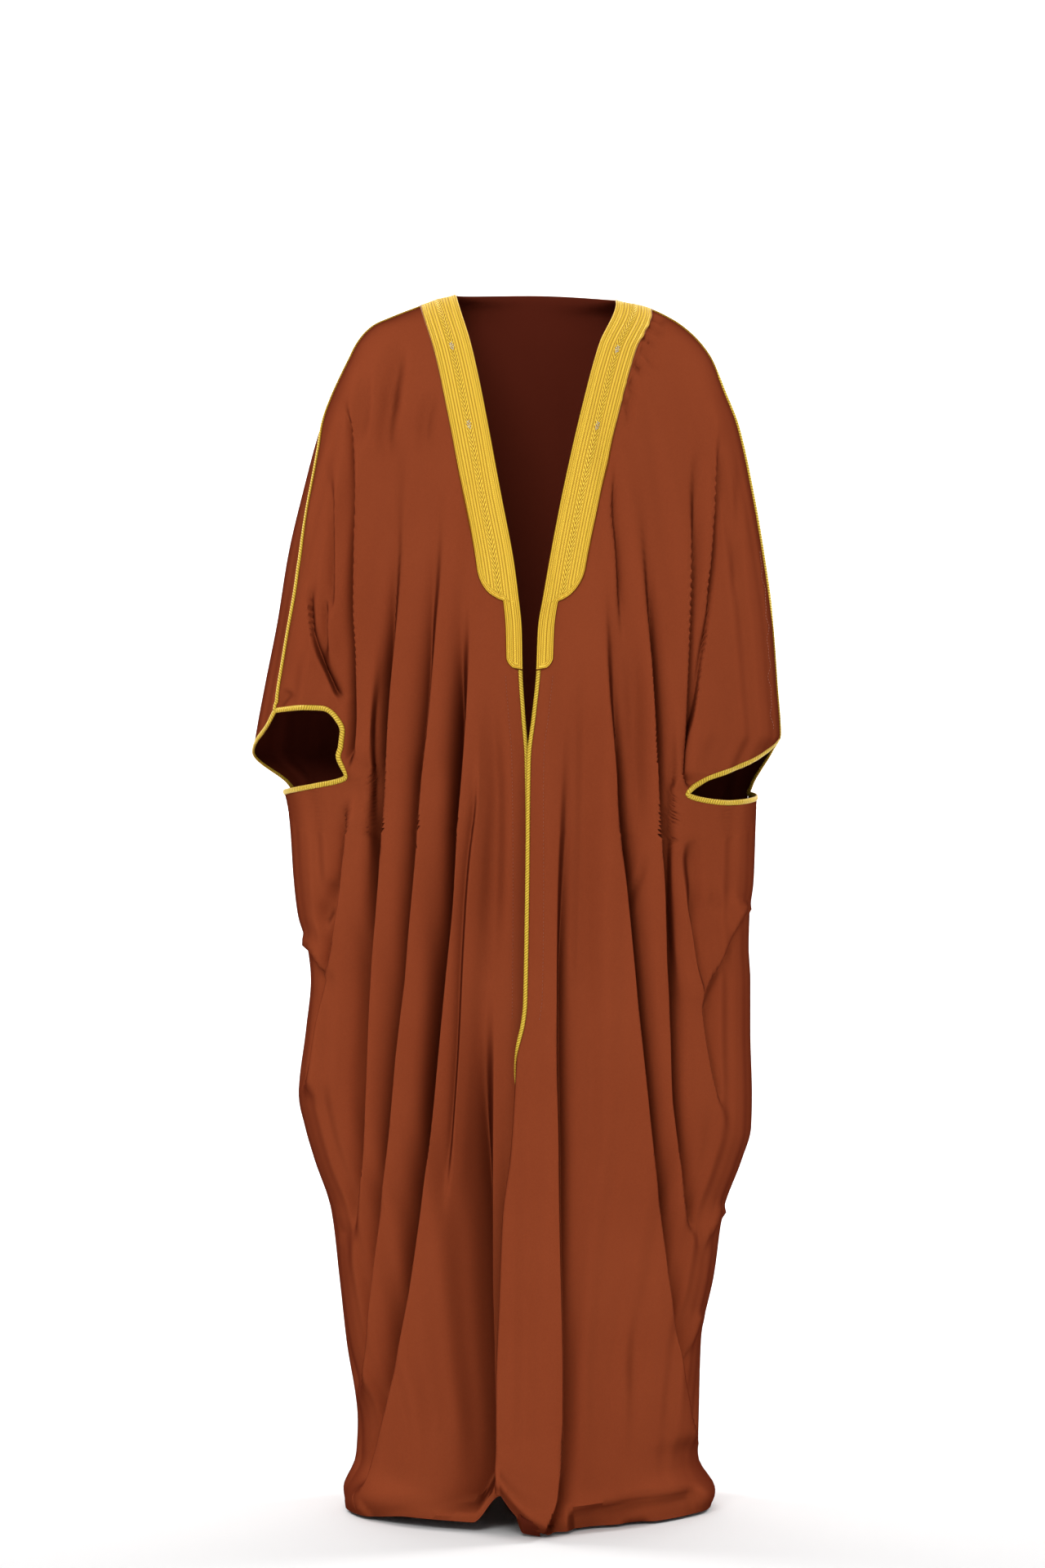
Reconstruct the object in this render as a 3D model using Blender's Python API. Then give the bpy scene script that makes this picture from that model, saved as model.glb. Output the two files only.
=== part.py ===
# Bisht robe: an open-front cloak with broad gold-thread neck bands, worn on a general figure.
# Metres, +Z up. x grows to the wearer's left, y to the back, and z = 0 is the shoulder line.
import math
from collections import namedtuple

import bpy
import numpy as np

# Driving sizes. softest is the narrowest slope of a fold that the panels' own grids can carry.
wall = 0.0016
seamGap = 0.0004
hemZ = -1.4915
bandWidth = 0.047
tailWidth = 0.020
bandThick = 0.0015
softest = 0.021
cordWidth = 0.0065
cordThick = 0.0020
seamCordWidth = 0.0060
lift = 0.0008
seamLift = 0.0009
bindingReach = 0.0035
bindingProud = 0.0007
bandCornerZ = -0.344
bandEndZ = -0.382
tailEndZ = -0.464
turnWidth = 0.022
turnRadius = 0.0055
sleeveColumns = 24
neckColumns = 6

# Half widths to the wearer's right and left, and depths before and behind, at each height
Section = namedtuple("Section", "z right left front back")
sections = [
    Section(0.014, 0.088, 0.102, 0.022, 0.068),
    Section(0.003, 0.0905, 0.104, 0.028, 0.071),
    Section(-0.004, 0.115, 0.108, 0.034, 0.074),
    Section(-0.013, 0.139, 0.145, 0.042, 0.077),
    Section(-0.025, 0.170, 0.172, 0.050, 0.081),
    Section(-0.035, 0.192, 0.188, 0.056, 0.084),
    Section(-0.055, 0.211, 0.210, 0.068, 0.090),
    Section(-0.076, 0.222, 0.225, 0.078, 0.096),
    Section(-0.116, 0.241, 0.241, 0.095, 0.106),
    Section(-0.157, 0.257, 0.257, 0.108, 0.115),
    Section(-0.237, 0.279, 0.275, 0.124, 0.128),
    Section(-0.318, 0.298, 0.289, 0.133, 0.136),
    Section(-0.399, 0.311, 0.300, 0.138, 0.140),
    Section(-0.480, 0.327, 0.306, 0.142, 0.143),
    Section(-0.540, 0.338, 0.310, 0.144, 0.145),
    Section(-0.561, 0.341, 0.300, 0.145, 0.146),
    Section(-0.601, 0.306, 0.283, 0.147, 0.147),
    Section(-0.641, 0.297, 0.281, 0.149, 0.149),
    Section(-0.722, 0.291, 0.278, 0.152, 0.152),
    Section(-0.763, 0.286, 0.273, 0.154, 0.154),
    Section(-0.803, 0.274, 0.272, 0.156, 0.156),
    Section(-0.843, 0.270, 0.274, 0.157, 0.158),
    Section(-0.904, 0.276, 0.274, 0.160, 0.160),
    Section(-0.985, 0.285, 0.276, 0.163, 0.163),
    Section(-1.025, 0.277, 0.275, 0.165, 0.164),
    Section(-1.066, 0.265, 0.263, 0.166, 0.165),
    Section(-1.126, 0.245, 0.241, 0.168, 0.166),
    Section(-1.207, 0.235, 0.229, 0.171, 0.168),
    Section(-1.288, 0.226, 0.213, 0.173, 0.170),
    Section(-1.389, 0.212, 0.210, 0.176, 0.172),
    Section(-1.429, 0.214, 0.209, 0.177, 0.173),
    Section(-1.470, 0.226, 0.224, 0.178, 0.174),
    Section(-1.500, 0.226, 0.227, 0.178, 0.174),
]

# Where each front's edge runs: beside the neck, down the open V, then one front over the other
FrontEdge = namedtuple("FrontEdge", "z right left")
frontEdges = [
    FrontEdge(0.003, 0.0900, 0.1045),
    FrontEdge(-0.007, 0.0875, 0.1070),
    FrontEdge(-0.065, 0.0705, 0.0850),
    FrontEdge(-0.160, 0.0505, 0.0600),
    FrontEdge(-0.255, 0.0330, 0.0390),
    FrontEdge(-0.335, 0.0180, 0.0235),
    FrontEdge(-0.370, 0.0135, 0.0175),
    FrontEdge(-0.415, 0.0090, 0.0105),
    FrontEdge(-0.465, 0.0080, 0.0085),
    FrontEdge(-0.520, 0.0045, 0.0030),
    FrontEdge(-0.572, 0.0005, -0.0030),
    FrontEdge(-0.720, -0.0010, -0.0050),
    FrontEdge(-0.880, 0.0000, -0.0080),
    FrontEdge(-1.040, 0.0020, -0.0160),
    FrontEdge(-1.112, 0.0030, -0.0270),
    FrontEdge(-1.230, 0.0030, -0.0320),
    FrontEdge(-1.330, 0.0020, -0.0350),
    FrontEdge(-1.500, 0.0010, -0.0350),
]

# Angle round the body of the shoulder and sleeve-top seam, 90 at the side and less in front
SeamStop = namedtuple("SeamStop", "z right left")
seamStops = [
    SeamStop(0.010, 90.0, 90.0),
    SeamStop(-0.100, 90.0, 90.0),
    SeamStop(-0.137, 86.0, 89.0),
    SeamStop(-0.190, 76.5, 87.5),
    SeamStop(-0.250, 73.0, 87.5),
    SeamStop(-0.330, 69.5, 88.0),
    SeamStop(-0.420, 69.5, 89.0),
    SeamStop(-0.560, 69.0, 88.0),
]

# The outer edge of front and back from the wrist round the hand opening to its corner, where they meet
CuffStop = namedtuple("CuffStop", "row frontAngle frontZ backAngle backZ")
rightCuff = [
    CuffStop(0.000, 69.0, -0.511, 69.0, -0.511),
    CuffStop(0.045, 56.0, -0.508, 72.0, -0.527),
    CuffStop(0.080, 49.0, -0.509, 75.5, -0.536),
    CuffStop(0.130, 44.0, -0.522, 80.0, -0.545),
    CuffStop(0.180, 42.0, -0.538, 84.5, -0.553),
    CuffStop(0.225, 42.0, -0.556, 88.5, -0.561),
    CuffStop(0.250, 43.0, -0.568, 91.0, -0.567),
    CuffStop(0.305, 45.0, -0.592, 97.0, -0.583),
    CuffStop(0.360, 68.0, -0.607, 102.5, -0.600),
    CuffStop(0.410, 107.0, -0.615, 107.0, -0.615),
]
leftCuff = [
    CuffStop(0.000, 88.0, -0.546, 88.0, -0.546),
    CuffStop(0.045, 77.0, -0.561, 89.5, -0.556),
    CuffStop(0.080, 70.0, -0.570, 90.5, -0.561),
    CuffStop(0.130, 62.0, -0.580, 92.0, -0.567),
    CuffStop(0.180, 55.0, -0.588, 94.0, -0.574),
    CuffStop(0.225, 50.0, -0.594, 95.5, -0.580),
    CuffStop(0.250, 47.5, -0.599, 97.0, -0.586),
    CuffStop(0.305, 42.5, -0.613, 100.0, -0.597),
    CuffStop(0.360, 60.0, -0.624, 102.5, -0.606),
    CuffStop(0.410, 105.0, -0.613, 105.0, -0.613),
]
# The side seam below the hand opening
SideStop = namedtuple("SideStop", "row z angle")
sideStops = [
    SideStop(0.450, -0.680, 99.0),
    SideStop(0.500, -0.763, 94.0),
    SideStop(0.530, -0.803, 93.0),
    SideStop(0.560, -0.843, 92.0),
    SideStop(0.610, -0.904, 91.0),
    SideStop(0.660, -0.985, 90.0),
    SideStop(0.710, -1.055, 90.0),
    SideStop(0.755, -1.126, 90.0),
    SideStop(0.810, -1.207, 90.0),
    SideStop(0.870, -1.300, 90.0),
    SideStop(0.930, -1.400, 90.0),
    SideStop(0.962, -1.446, 90.0),
    SideStop(0.982, -1.472, 90.0),
    SideStop(1.000, hemZ, 90.0),
]
upperRows = [0.0, 0.010, 0.024, 0.045, 0.080, 0.130, 0.180, 0.225, 0.250, 0.305, 0.360, 0.410]
cornerRow = 0.410
cornerEdgeZ = -0.660

# Folds: height, place across and rise at three levels, then how wide each slope is towards the middle
# of the body and away from it, and how far the crest leans over. A negative rise is a trough.
Fold = namedtuple("Fold", "z1 x1 h1 z2 x2 h2 z3 x3 h3 near far lean")
rightFolds = [
    Fold(-0.10, -0.216, -0.018, -0.45, -0.211, -0.052, -0.63, -0.212, -0.040, 0.018, 0.014, 0.0),
    Fold(-0.62, -0.188, -0.016, -0.80, -0.201, -0.032, -1.02, -0.216, -0.012, 0.016, 0.018, 0.0),
    Fold(-0.36, -0.268, -0.006, -0.47, -0.245, -0.016, -0.55, -0.224, -0.010, 0.014, 0.012, 0.0),
    Fold(-0.16, -0.138, -0.008, -0.38, -0.157, -0.016, -0.60, -0.181, -0.012, 0.014, 0.016, 0.0),
    Fold(-0.22, -0.098, -0.008, -0.42, -0.121, -0.017, -0.64, -0.134, -0.014, 0.015, 0.018, 0.0),
    Fold(-0.32, -0.066, -0.005, -0.44, -0.082, -0.012, -0.62, -0.096, -0.010, 0.013, 0.016, 0.0),
    Fold(-0.74, -0.184, 0.010, -1.00, -0.200, 0.016, -1.22, -0.217, 0.010, 0.030, 0.012, 0.004),
    Fold(-0.66, -0.134, 0.010, -0.95, -0.159, 0.017, -1.36, -0.205, 0.014, 0.032, 0.012, 0.004),
    Fold(-0.70, -0.088, 0.012, -1.07, -0.126, 0.036, -1.46, -0.196, 0.022, 0.050, 0.013, 0.008),
    Fold(-0.84, -0.080, 0.004, -0.95, -0.087, 0.007, -1.08, -0.096, 0.003, 0.014, 0.012, 0.0),
    Fold(-0.84, -0.050, -0.010, -1.10, -0.058, -0.030, -1.49, -0.058, -0.048, 0.030, 0.034, 0.0),
    Fold(-0.73, -0.232, 0.012, -0.86, -0.252, 0.022, -0.98, -0.280, 0.010, 0.026, 0.012, 0.0),
]
leftFolds = [
    Fold(-0.25, 0.238, -0.014, -0.45, 0.207, -0.042, -0.63, 0.189, -0.038, 0.014, 0.018, 0.0),
    Fold(-0.10, 0.196, -0.008, -0.32, 0.206, -0.014, -0.50, 0.190, -0.012, 0.014, 0.012, 0.0),
    Fold(-0.25, 0.118, -0.008, -0.43, 0.142, -0.016, -0.62, 0.157, -0.014, 0.016, 0.016, 0.0),
    Fold(-0.24, 0.080, -0.006, -0.37, 0.095, -0.013, -0.52, 0.106, -0.008, 0.014, 0.014, 0.0),
    Fold(-0.36, 0.064, -0.004, -0.47, 0.046, -0.010, -0.62, 0.037, -0.006, 0.012, 0.012, 0.0),
    Fold(-0.60, 0.034, 0.006, -0.95, 0.031, 0.016, -1.49, 0.033, 0.024, 0.044, 0.012, 0.004),
    Fold(-0.58, 0.105, 0.008, -1.02, 0.143, 0.022, -1.40, 0.200, 0.022, 0.052, 0.013, 0.005),
    Fold(-0.66, 0.154, 0.006, -0.80, 0.160, 0.013, -0.92, 0.170, 0.006, 0.016, 0.012, 0.0),
    Fold(-0.72, 0.172, -0.016, -0.90, 0.187, -0.034, -1.10, 0.206, -0.010, 0.014, 0.016, 0.0),
    Fold(-0.74, 0.192, 0.010, -0.88, 0.210, 0.020, -1.03, 0.250, 0.010, 0.018, 0.013, 0.0),
    Fold(-0.76, 0.264, 0.008, -0.81, 0.240, 0.014, -0.87, 0.213, 0.006, 0.016, 0.016, 0.0),
    Fold(-1.08, 0.180, 0.006, -1.15, 0.197, 0.010, -1.20, 0.210, 0.006, 0.018, 0.012, 0.0),
]
backFolds = [
    Fold(-0.22, -0.214, -0.008, -0.50, -0.226, -0.026, -0.66, -0.218, -0.018, 0.024, 0.024, 0.0),
    Fold(-0.25, 0.220, -0.008, -0.47, 0.218, -0.026, -0.66, 0.204, -0.018, 0.024, 0.024, 0.0),
    Fold(-0.16, -0.150, 0.005, -0.70, -0.176, 0.018, -1.49, -0.158, 0.026, 0.022, 0.022, 0.0),
    Fold(-0.12, -0.104, 0.004, -0.80, -0.112, 0.016, -1.49, -0.104, 0.028, 0.018, 0.024, 0.0),
    Fold(-0.14, -0.052, 0.003, -0.72, -0.058, 0.013, -1.49, -0.050, 0.024, 0.020, 0.017, 0.0),
    Fold(-0.18, -0.008, 0.003, -0.84, 0.000, 0.012, -1.49, 0.006, 0.028, 0.018, 0.018, 0.0),
    Fold(-0.12, 0.048, 0.004, -0.76, 0.054, 0.014, -1.49, 0.062, 0.024, 0.018, 0.020, 0.0),
    Fold(-0.15, 0.100, 0.004, -0.86, 0.112, 0.018, -1.49, 0.116, 0.028, 0.022, 0.018, 0.0),
    Fold(-0.17, 0.152, 0.005, -0.74, 0.172, 0.017, -1.49, 0.166, 0.024, 0.020, 0.022, 0.0),
]

names = {-1: "right", 1: "left"}


def smooth(knots, values, at):
    """A smooth curve through the table's rows that never swings past them."""
    order = np.argsort(knots)
    x = np.array(knots, float)[order]
    y = np.array(values, float)[order]
    at = np.clip(np.asarray(at, float), x[0], x[-1])
    step = np.diff(x)
    slope = np.diff(y) / step
    lean = np.zeros(len(x))
    same = slope[1:] * slope[:-1] > 0
    near = 2 * step[1:] + step[:-1]
    far = step[1:] + 2 * step[:-1]
    first = np.where(same, slope[:-1], 1.0)
    second = np.where(same, slope[1:], 1.0)
    lean[1:-1] = np.where(same, (near + far) / (near / first + far / second), 0.0)
    lean[0], lean[-1] = slope[0], slope[-1]
    k = np.clip(np.searchsorted(x, at, side="right") - 1, 0, len(x) - 2)
    h = step[k]
    f = (at - x[k]) / h
    keep = (1 + 2 * f) * (1 - f) ** 2 * y[k] + f * f * (3 - 2 * f) * y[k + 1]
    bend = f * (1 - f) ** 2 * h * lean[k] - f * f * (1 - f) * h * lean[k + 1]
    return keep + bend


def column(rows, field):
    return [getattr(row, field) for row in rows]


def halfWidth(side, z):
    return smooth(column(sections, "z"), column(sections, names[side]), z)


def depths(z):
    level = column(sections, "z")
    return smooth(level, column(sections, "front"), z), smooth(level, column(sections, "back"), z)


def ease(value):
    value = np.clip(value, 0.0, 1.0)
    return value * value * (3 - 2 * value)


def foldRise(folds, x, z):
    """How far the folds of one table move the cloth out, and how far they lean it sideways."""
    out = np.zeros(np.shape(x))
    across = np.zeros(np.shape(x))
    for fold in folds:
        levels = [fold.z3, fold.z2, fold.z1]
        centre = smooth(levels, [fold.x3, fold.x2, fold.x1], z)
        rise = smooth(levels, [fold.h3, fold.h2, fold.h1], z)
        rise = rise * ease((fold.z1 + 0.07 - z) / 0.07) * ease((z - fold.z3 + 0.07) / 0.07)
        outward = 1.0 if fold.x2 > 0 else -1.0
        apart = (x - centre) * outward
        width = np.maximum(np.where(apart > 0, fold.far, fold.near), softest)
        hump = np.exp(-(apart / width) ** 2)
        out = out + rise * hump
        across = across + outward * fold.lean * hump * ease(np.abs(rise) / 0.012)
    return out, across


def cloth(side, angle, z, folded=True):
    """A point of the cloth's outer face, from its angle round the body (0 before, 180 behind) and height."""
    turn = np.radians(angle)
    front, back = depths(z)
    wide = halfWidth(side, z)
    deep = np.where(np.abs(angle) < 90, front, back)
    x = side * wide * np.sin(turn)
    y = -deep * np.cos(turn)
    if folded:
        outX = side * np.sin(turn) / wide
        outY = -np.cos(turn) / deep
        size = np.hypot(outX, outY)
        table = rightFolds if side < 0 else leftFolds
        frontOut, across = foldRise(table, x, z)
        backOut, backAcross = foldRise(backFolds, x, z)
        out = np.where(np.abs(angle) < 90, frontOut, backOut) * ease(np.abs(angle - 90) / 16)
        hem = np.exp(-((z + 1.470) / 0.017) ** 2) * 0.010 - ease((-1.478 - z) / 0.014) * 0.006
        hollow = np.exp(-((x + 0.050) / 0.045) ** 2) * (np.abs(angle) < 90) * (side < 0)
        out = out + hem * (1 - hollow)
        if side > 0:
            nearEdge = ease((0.085 - x) / 0.06) * (np.abs(angle) < 90)
            out = out + nearEdge * smooth([-1.5, -1.1, -0.62, -0.50], [0.028, 0.018, 0.007, 0.0], z)
        else:
            nearEdge = ease((x + 0.045) / 0.03) * (np.abs(angle) < 90)
            out = out - nearEdge * smooth([-1.5, -0.9, -0.62, -0.50], [0.010, 0.005, 0.002, 0.0], z)
        x = x + out * outX / size + across * ease(np.abs(angle - 90) / 16)
        y = y + out * outY / size
    return np.stack([x, y, z + 0 * x], axis=-1)


def outward(side, angle, z):
    """The direction out of the cloth, the same for every piece that meets at a point."""
    aside, down = 0.4, 0.0015
    around = cloth(side, angle + aside, z) - cloth(side, angle - aside, z)
    up = cloth(side, angle, z + down) - cloth(side, angle, z - down)
    facing = np.cross(around, up) * side
    return facing / np.linalg.norm(facing, axis=-1, keepdims=True)


def edgeCurve(side, rows):
    """Angle and height of a front's own edge at each row, evenly spaced along it."""
    level = column(frontEdges, "z")
    where = column(frontEdges, names[side])
    top = 0.003 if side < 0 else -0.003
    z = np.concatenate([top - 0.03 * np.linspace(0, 1, 40) ** 2, np.linspace(top - 0.031, hemZ, 500)])
    x = smooth(level, where, z)
    wide = halfWidth(side, z)
    angle = np.degrees(np.arcsin(np.clip(x / wide, -1, 1)))
    points = cloth(side, angle, z, False)
    run = np.concatenate([[0], np.cumsum(np.linalg.norm(np.diff(points, axis=0), axis=1))])
    corner = np.interp(-cornerEdgeZ, -z, run)
    along = np.where(
        rows < cornerRow,
        rows / cornerRow * corner,
        corner + (rows - cornerRow) / (1 - cornerRow) * (run[-1] - corner),
    )
    return np.interp(along, run, angle), np.interp(along, run, z)


def sideCurve(side, rows, half):
    """Angle and height of a panel's outer edge: the hand opening, then the side seam."""
    cuff = rightCuff if side < 0 else leftCuff
    stops = column(cuff, "row") + column(sideStops, "row")
    angles = column(cuff, half + "Angle") + column(sideStops, "angle")
    levels = column(cuff, half + "Z") + column(sideStops, "z")
    return smooth(stops, angles, rows), smooth(stops, levels, rows)


def seamCurve(side):
    """Angle and height along the shoulder seam from the neck to the wrist, closely spaced."""
    top = 0.003 if side < 0 else -0.003
    end = (rightCuff if side < 0 else leftCuff)[0].frontZ
    z = np.concatenate([top - 0.05 * np.linspace(0, 1, 60) ** 2, np.linspace(top - 0.051, end, 240)])
    return smooth(column(seamStops, "z"), column(seamStops, names[side]), z), z


def spread(side, angle, z):
    """Angle as a length round the body, so that grid lines hang straight from the shoulder."""
    return halfWidth(side, z) * angle / 90.0


def unspread(side, length, z):
    return 90.0 * length / halfWidth(side, z)


def runs(points):
    return np.concatenate([[0], np.cumsum(np.linalg.norm(np.diff(points, axis=0), axis=1))])


def frontLines(side, rows):
    """For each row of a front, its closely spaced angles, heights and lengths from the edge outwards."""
    across = np.linspace(0, 1, 220) ** 1.25
    seamAngle, seamZ = seamCurve(side)
    seamRun = runs(cloth(side, seamAngle, seamZ, False))
    seamRun = seamRun / seamRun[-1]
    top = np.stack([
        np.interp(across, seamRun, spread(side, seamAngle, seamZ)),
        np.interp(across, seamRun, seamZ),
    ])
    edgeAngle, edgeZ = edgeCurve(side, rows)
    sideAngle, sideZ = sideCurve(side, rows, "front")
    edge = np.stack([spread(side, edgeAngle, edgeZ), edgeZ])
    outer = np.stack([spread(side, sideAngle, sideZ), sideZ])
    lastAngle, lastZ = edgeCurve(side, np.array([1.0]))
    hemStart = float(spread(side, lastAngle, lastZ)[0])
    hemEnd = float(spread(side, 90.0, hemZ))
    hem = np.stack([hemStart + (hemEnd - hemStart) * across, hemZ + 0 * across])
    lines = []
    for k, row in enumerate(rows):
        mixed = (1 - row) * top + row * hem
        mixed = mixed + (1 - across) * edge[:, k:k + 1] + across * outer[:, k:k + 1]
        ends = (1 - row) * ((1 - across) * top[:, :1] + across * top[:, -1:])
        ends = ends + row * ((1 - across) * hem[:, :1] + across * hem[:, -1:])
        length, z = mixed - ends
        angle = unspread(side, length, z)
        if row == 0.0:
            angle = np.interp(across, seamRun, seamAngle)
            z = np.interp(across, seamRun, seamZ)
        lines.append((angle, z, runs(cloth(side, angle, z, False))))
    return lines


def turnedWidth(side, z):
    """How much of the over-lapping front's edge is folded back under it at this height."""
    return turnWidth * ease((-0.86 - z) / 0.14) if side > 0 else 0.0


def frontRow(side, line, distances):
    """Points and directions at these distances from a front's edge, with the folded-back strip."""
    angle, z, run = line
    turned = float(turnedWidth(side, z[0]))
    flat = np.maximum(distances - turned, 0.0)
    at = np.interp(flat, run, angle)
    level = np.interp(flat, run, z)
    points = cloth(side, at, level)
    facing = outward(side, at, level)
    if turned > 1e-6:
        along = points[-1] * 0 + cloth(side, at[0] + 1.0, level[0]) - cloth(side, at[0] - 1.0, level[0])
        along = along / np.linalg.norm(along)
        out = facing[0]
        reach = min(turned / (turnRadius * math.pi), 1.0) * math.pi
        back = np.maximum(turned - distances, 0.0) / turnRadius
        bent = np.minimum(back, reach)
        rest = (back - bent) * turnRadius
        aside = -turnRadius * np.sin(bent) - rest * math.cos(reach)
        behind = -turnRadius * (1 - np.cos(bent)) - rest * math.sin(reach)
        points = points + aside[:, None] * along + behind[:, None] * out
        facing = np.where(
            (back > 0)[:, None],
            np.cos(bent)[:, None] * out - np.sin(bent)[:, None] * along,
            facing,
        )
    return points, facing


def panelRows():
    return np.array(upperRows + column(sideStops, "row"))


def columnDistances(line):
    """Distances from the front edge: under the band, then evenly out to the side."""
    fixed = np.array([0.0, cordWidth, tailWidth, 0.033, bandWidth])
    rest = np.linspace(bandWidth, line[2][-1], sleeveColumns + 1)[1:]
    return np.concatenate([fixed, rest])


def frontGrid(side):
    rows = panelRows()
    lines = frontLines(side, rows)
    points, facing = [], []
    for line in lines:
        distances = columnDistances(line)
        turned = float(turnedWidth(side, line[1][0]))
        distances[5:] = np.linspace(bandWidth, line[2][-1] + turned, sleeveColumns + 1)[1:]
        row, out = frontRow(side, line, distances)
        points.append(row)
        facing.append(out)
    return np.array(points), np.array(facing)


def seamStations(side):
    """Angle and height of the seam points that a front and the back share, from the neck outwards."""
    line = frontLines(side, np.array([0.0]))[0]
    distances = columnDistances(line)
    return np.interp(distances, line[2], line[0]), np.interp(distances, line[2], line[1])


def backColumns():
    """The back's columns: side, share of the way across, and dense angles, heights and lengths down it."""
    down = np.union1d(np.linspace(0, 1, 260) ** 1.6, panelRows())
    rightAngle, rightZ = seamStations(-1)
    leftAngle, leftZ = seamStations(1)
    neck = np.linspace(0, 1, neckColumns + 1)[1:-1]
    neckAngle = np.where(neck < 0.5, 90 + 180 * neck, 270 - 180 * neck)
    neckZ = smooth([0, 0.5, 1], [rightZ[0], 0.011, leftZ[0]], neck)
    neckSide = np.where(neck < 0.5, -1, 1)
    sides = [-1] * len(rightZ) + list(neckSide) + [1] * len(leftZ)
    angles = list(rightAngle[::-1]) + list(neckAngle) + list(leftAngle)
    levels = list(rightZ[::-1]) + list(neckZ) + list(leftZ)
    neckShare = 0.35
    rightShare = np.linspace(0, neckShare, len(rightZ))
    leftShare = np.linspace(1 - neckShare, 1, len(leftZ))
    shares = list(rightShare) + list(neckShare + (1 - 2 * neckShare) * neck) + list(leftShare)

    def place(side, angle, z):
        return side * halfWidth(side, z) * (180.0 - angle) / 90.0

    edges = []
    for side in (-1, 1):
        angle, z = sideCurve(side, down, "back")
        edges.append(np.stack([place(side, angle, z), z]))
    tops = [np.array([float(place(s, a, z)), z]) for s, a, z in zip(sides, angles, levels)]
    hemLeft = np.array([float(place(-1, 90.0, hemZ)), hemZ])
    hemRight = np.array([float(place(1, 90.0, hemZ)), hemZ])
    found = []
    upper = (1 - down) ** 3
    for side, share, top in zip(sides, shares, tops):
        hem = hemLeft + (hemRight - hemLeft) * share
        mixed = upper * top[:, None] + (1 - upper) * hem[:, None]
        mixed = mixed + (1 - share) * edges[0] + share * edges[1]
        ends = upper * ((1 - share) * tops[0] + share * tops[-1])[:, None]
        ends = ends + (1 - upper) * ((1 - share) * hemLeft + share * hemRight)[:, None]
        length, z = mixed - ends
        angle = np.where(
            length < 0,
            180.0 + 90.0 * length / halfWidth(-1, z),
            180.0 - 90.0 * length / halfWidth(1, z),
        )
        signed = np.where(length < 0, -1, 1)
        if share == 0.0:
            angle, z = sideCurve(-1, down, "back")
            signed = 0 * signed - 1
        if share == 1.0:
            angle, z = sideCurve(1, down, "back")
            signed = 0 * signed + 1
        found.append((share, signed, angle, z, down))
    return found


def bodySide(signed, angle, z, compute):
    """Evaluates a function that takes one side at points that may lie on both."""
    right = compute(-1, angle, z)
    left = compute(1, angle, z)
    return np.where((np.asarray(signed) < 0)[..., None], right, left)


def backPoint(entry, at):
    share, signed, angle, z, down = entry
    place = np.interp(at, down, angle)
    level = np.interp(at, down, z)
    which = np.where(np.interp(at, down, signed) < 0, -1, 1)
    return bodySide(which, place, level, cloth), bodySide(which, place, level, outward)


def backRun(entry):
    share, signed, angle, z, down = entry
    points = bodySide(signed, angle, z, lambda s, a, h: cloth(s, a, h, False))
    return runs(points)


def backGrid(entries):
    rows = panelRows()
    near = np.linspace(0, bandWidth, 5)
    points, facing = [], []
    for entry in entries:
        run = backRun(entry)
        spaced = np.concatenate([near, np.linspace(bandWidth, run[-1], len(rows) - 4)[1:]])
        mixed = np.interp(spaced, run, entry[4])
        central = ease((0.5 - abs(entry[0] - 0.5) - 0.10) / 0.20)
        at = (1 - central) * rows + central * mixed
        column, out = backPoint(entry, at)
        points.append(column)
        facing.append(out)
    return np.array(points).transpose(1, 0, 2), np.array(facing).transpose(1, 0, 2)


def inset(border, inner, amount):
    """A border line drawn in towards the next line, squarely to its own run."""
    along = np.gradient(border, axis=0)
    along = along / np.linalg.norm(along, axis=-1, keepdims=True)
    step = inner - border
    step = step - np.sum(step * along, axis=-1, keepdims=True) * along
    return border + step / np.linalg.norm(step, axis=-1, keepdims=True) * amount


def trimmed(points):
    """A grid with its outer rows and columns drawn in, so that neighbouring pieces stay apart."""
    drawn = points.copy()
    for border, inner in ((0, 1), (-1, -2)):
        drawn[border] = inset(points[border], points[inner], seamGap)
    across = drawn.copy()
    for border, inner in ((0, 1), (-1, -2)):
        across[:, border] = inset(drawn[:, border], drawn[:, inner], seamGap)
    return across


def onGrid(points, facing, row, col):
    """Points and directions on a panel's own facets, at fractional rows and columns."""
    r = np.clip(np.floor(row).astype(int), 0, points.shape[0] - 2)
    c = np.clip(np.floor(col).astype(int), 0, points.shape[1] - 2)
    v = (row - r)[..., None]
    u = (col - c)[..., None]
    found = []
    for grid in (points, facing):
        first, second = grid[r, c], grid[r, c + 1]
        third, fourth = grid[r + 1, c + 1], grid[r + 1, c]
        above = first + (second - first) * u + (third - second) * v
        below = first + (fourth - first) * v + (third - fourth) * u
        found.append(np.where(u >= v, above, below))
    out = found[1] / np.linalg.norm(found[1], axis=-1, keepdims=True)
    return found[0], out


def material(name, colour, metallic, roughness):
    made = bpy.data.materials.new(name)
    made.use_nodes = True
    shader = made.node_tree.nodes["Principled BSDF"]
    shader.inputs["Base Color"].default_value = (*colour, 1.0)
    shader.inputs["Metallic"].default_value = metallic
    shader.inputs["Roughness"].default_value = roughness
    return made


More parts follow.
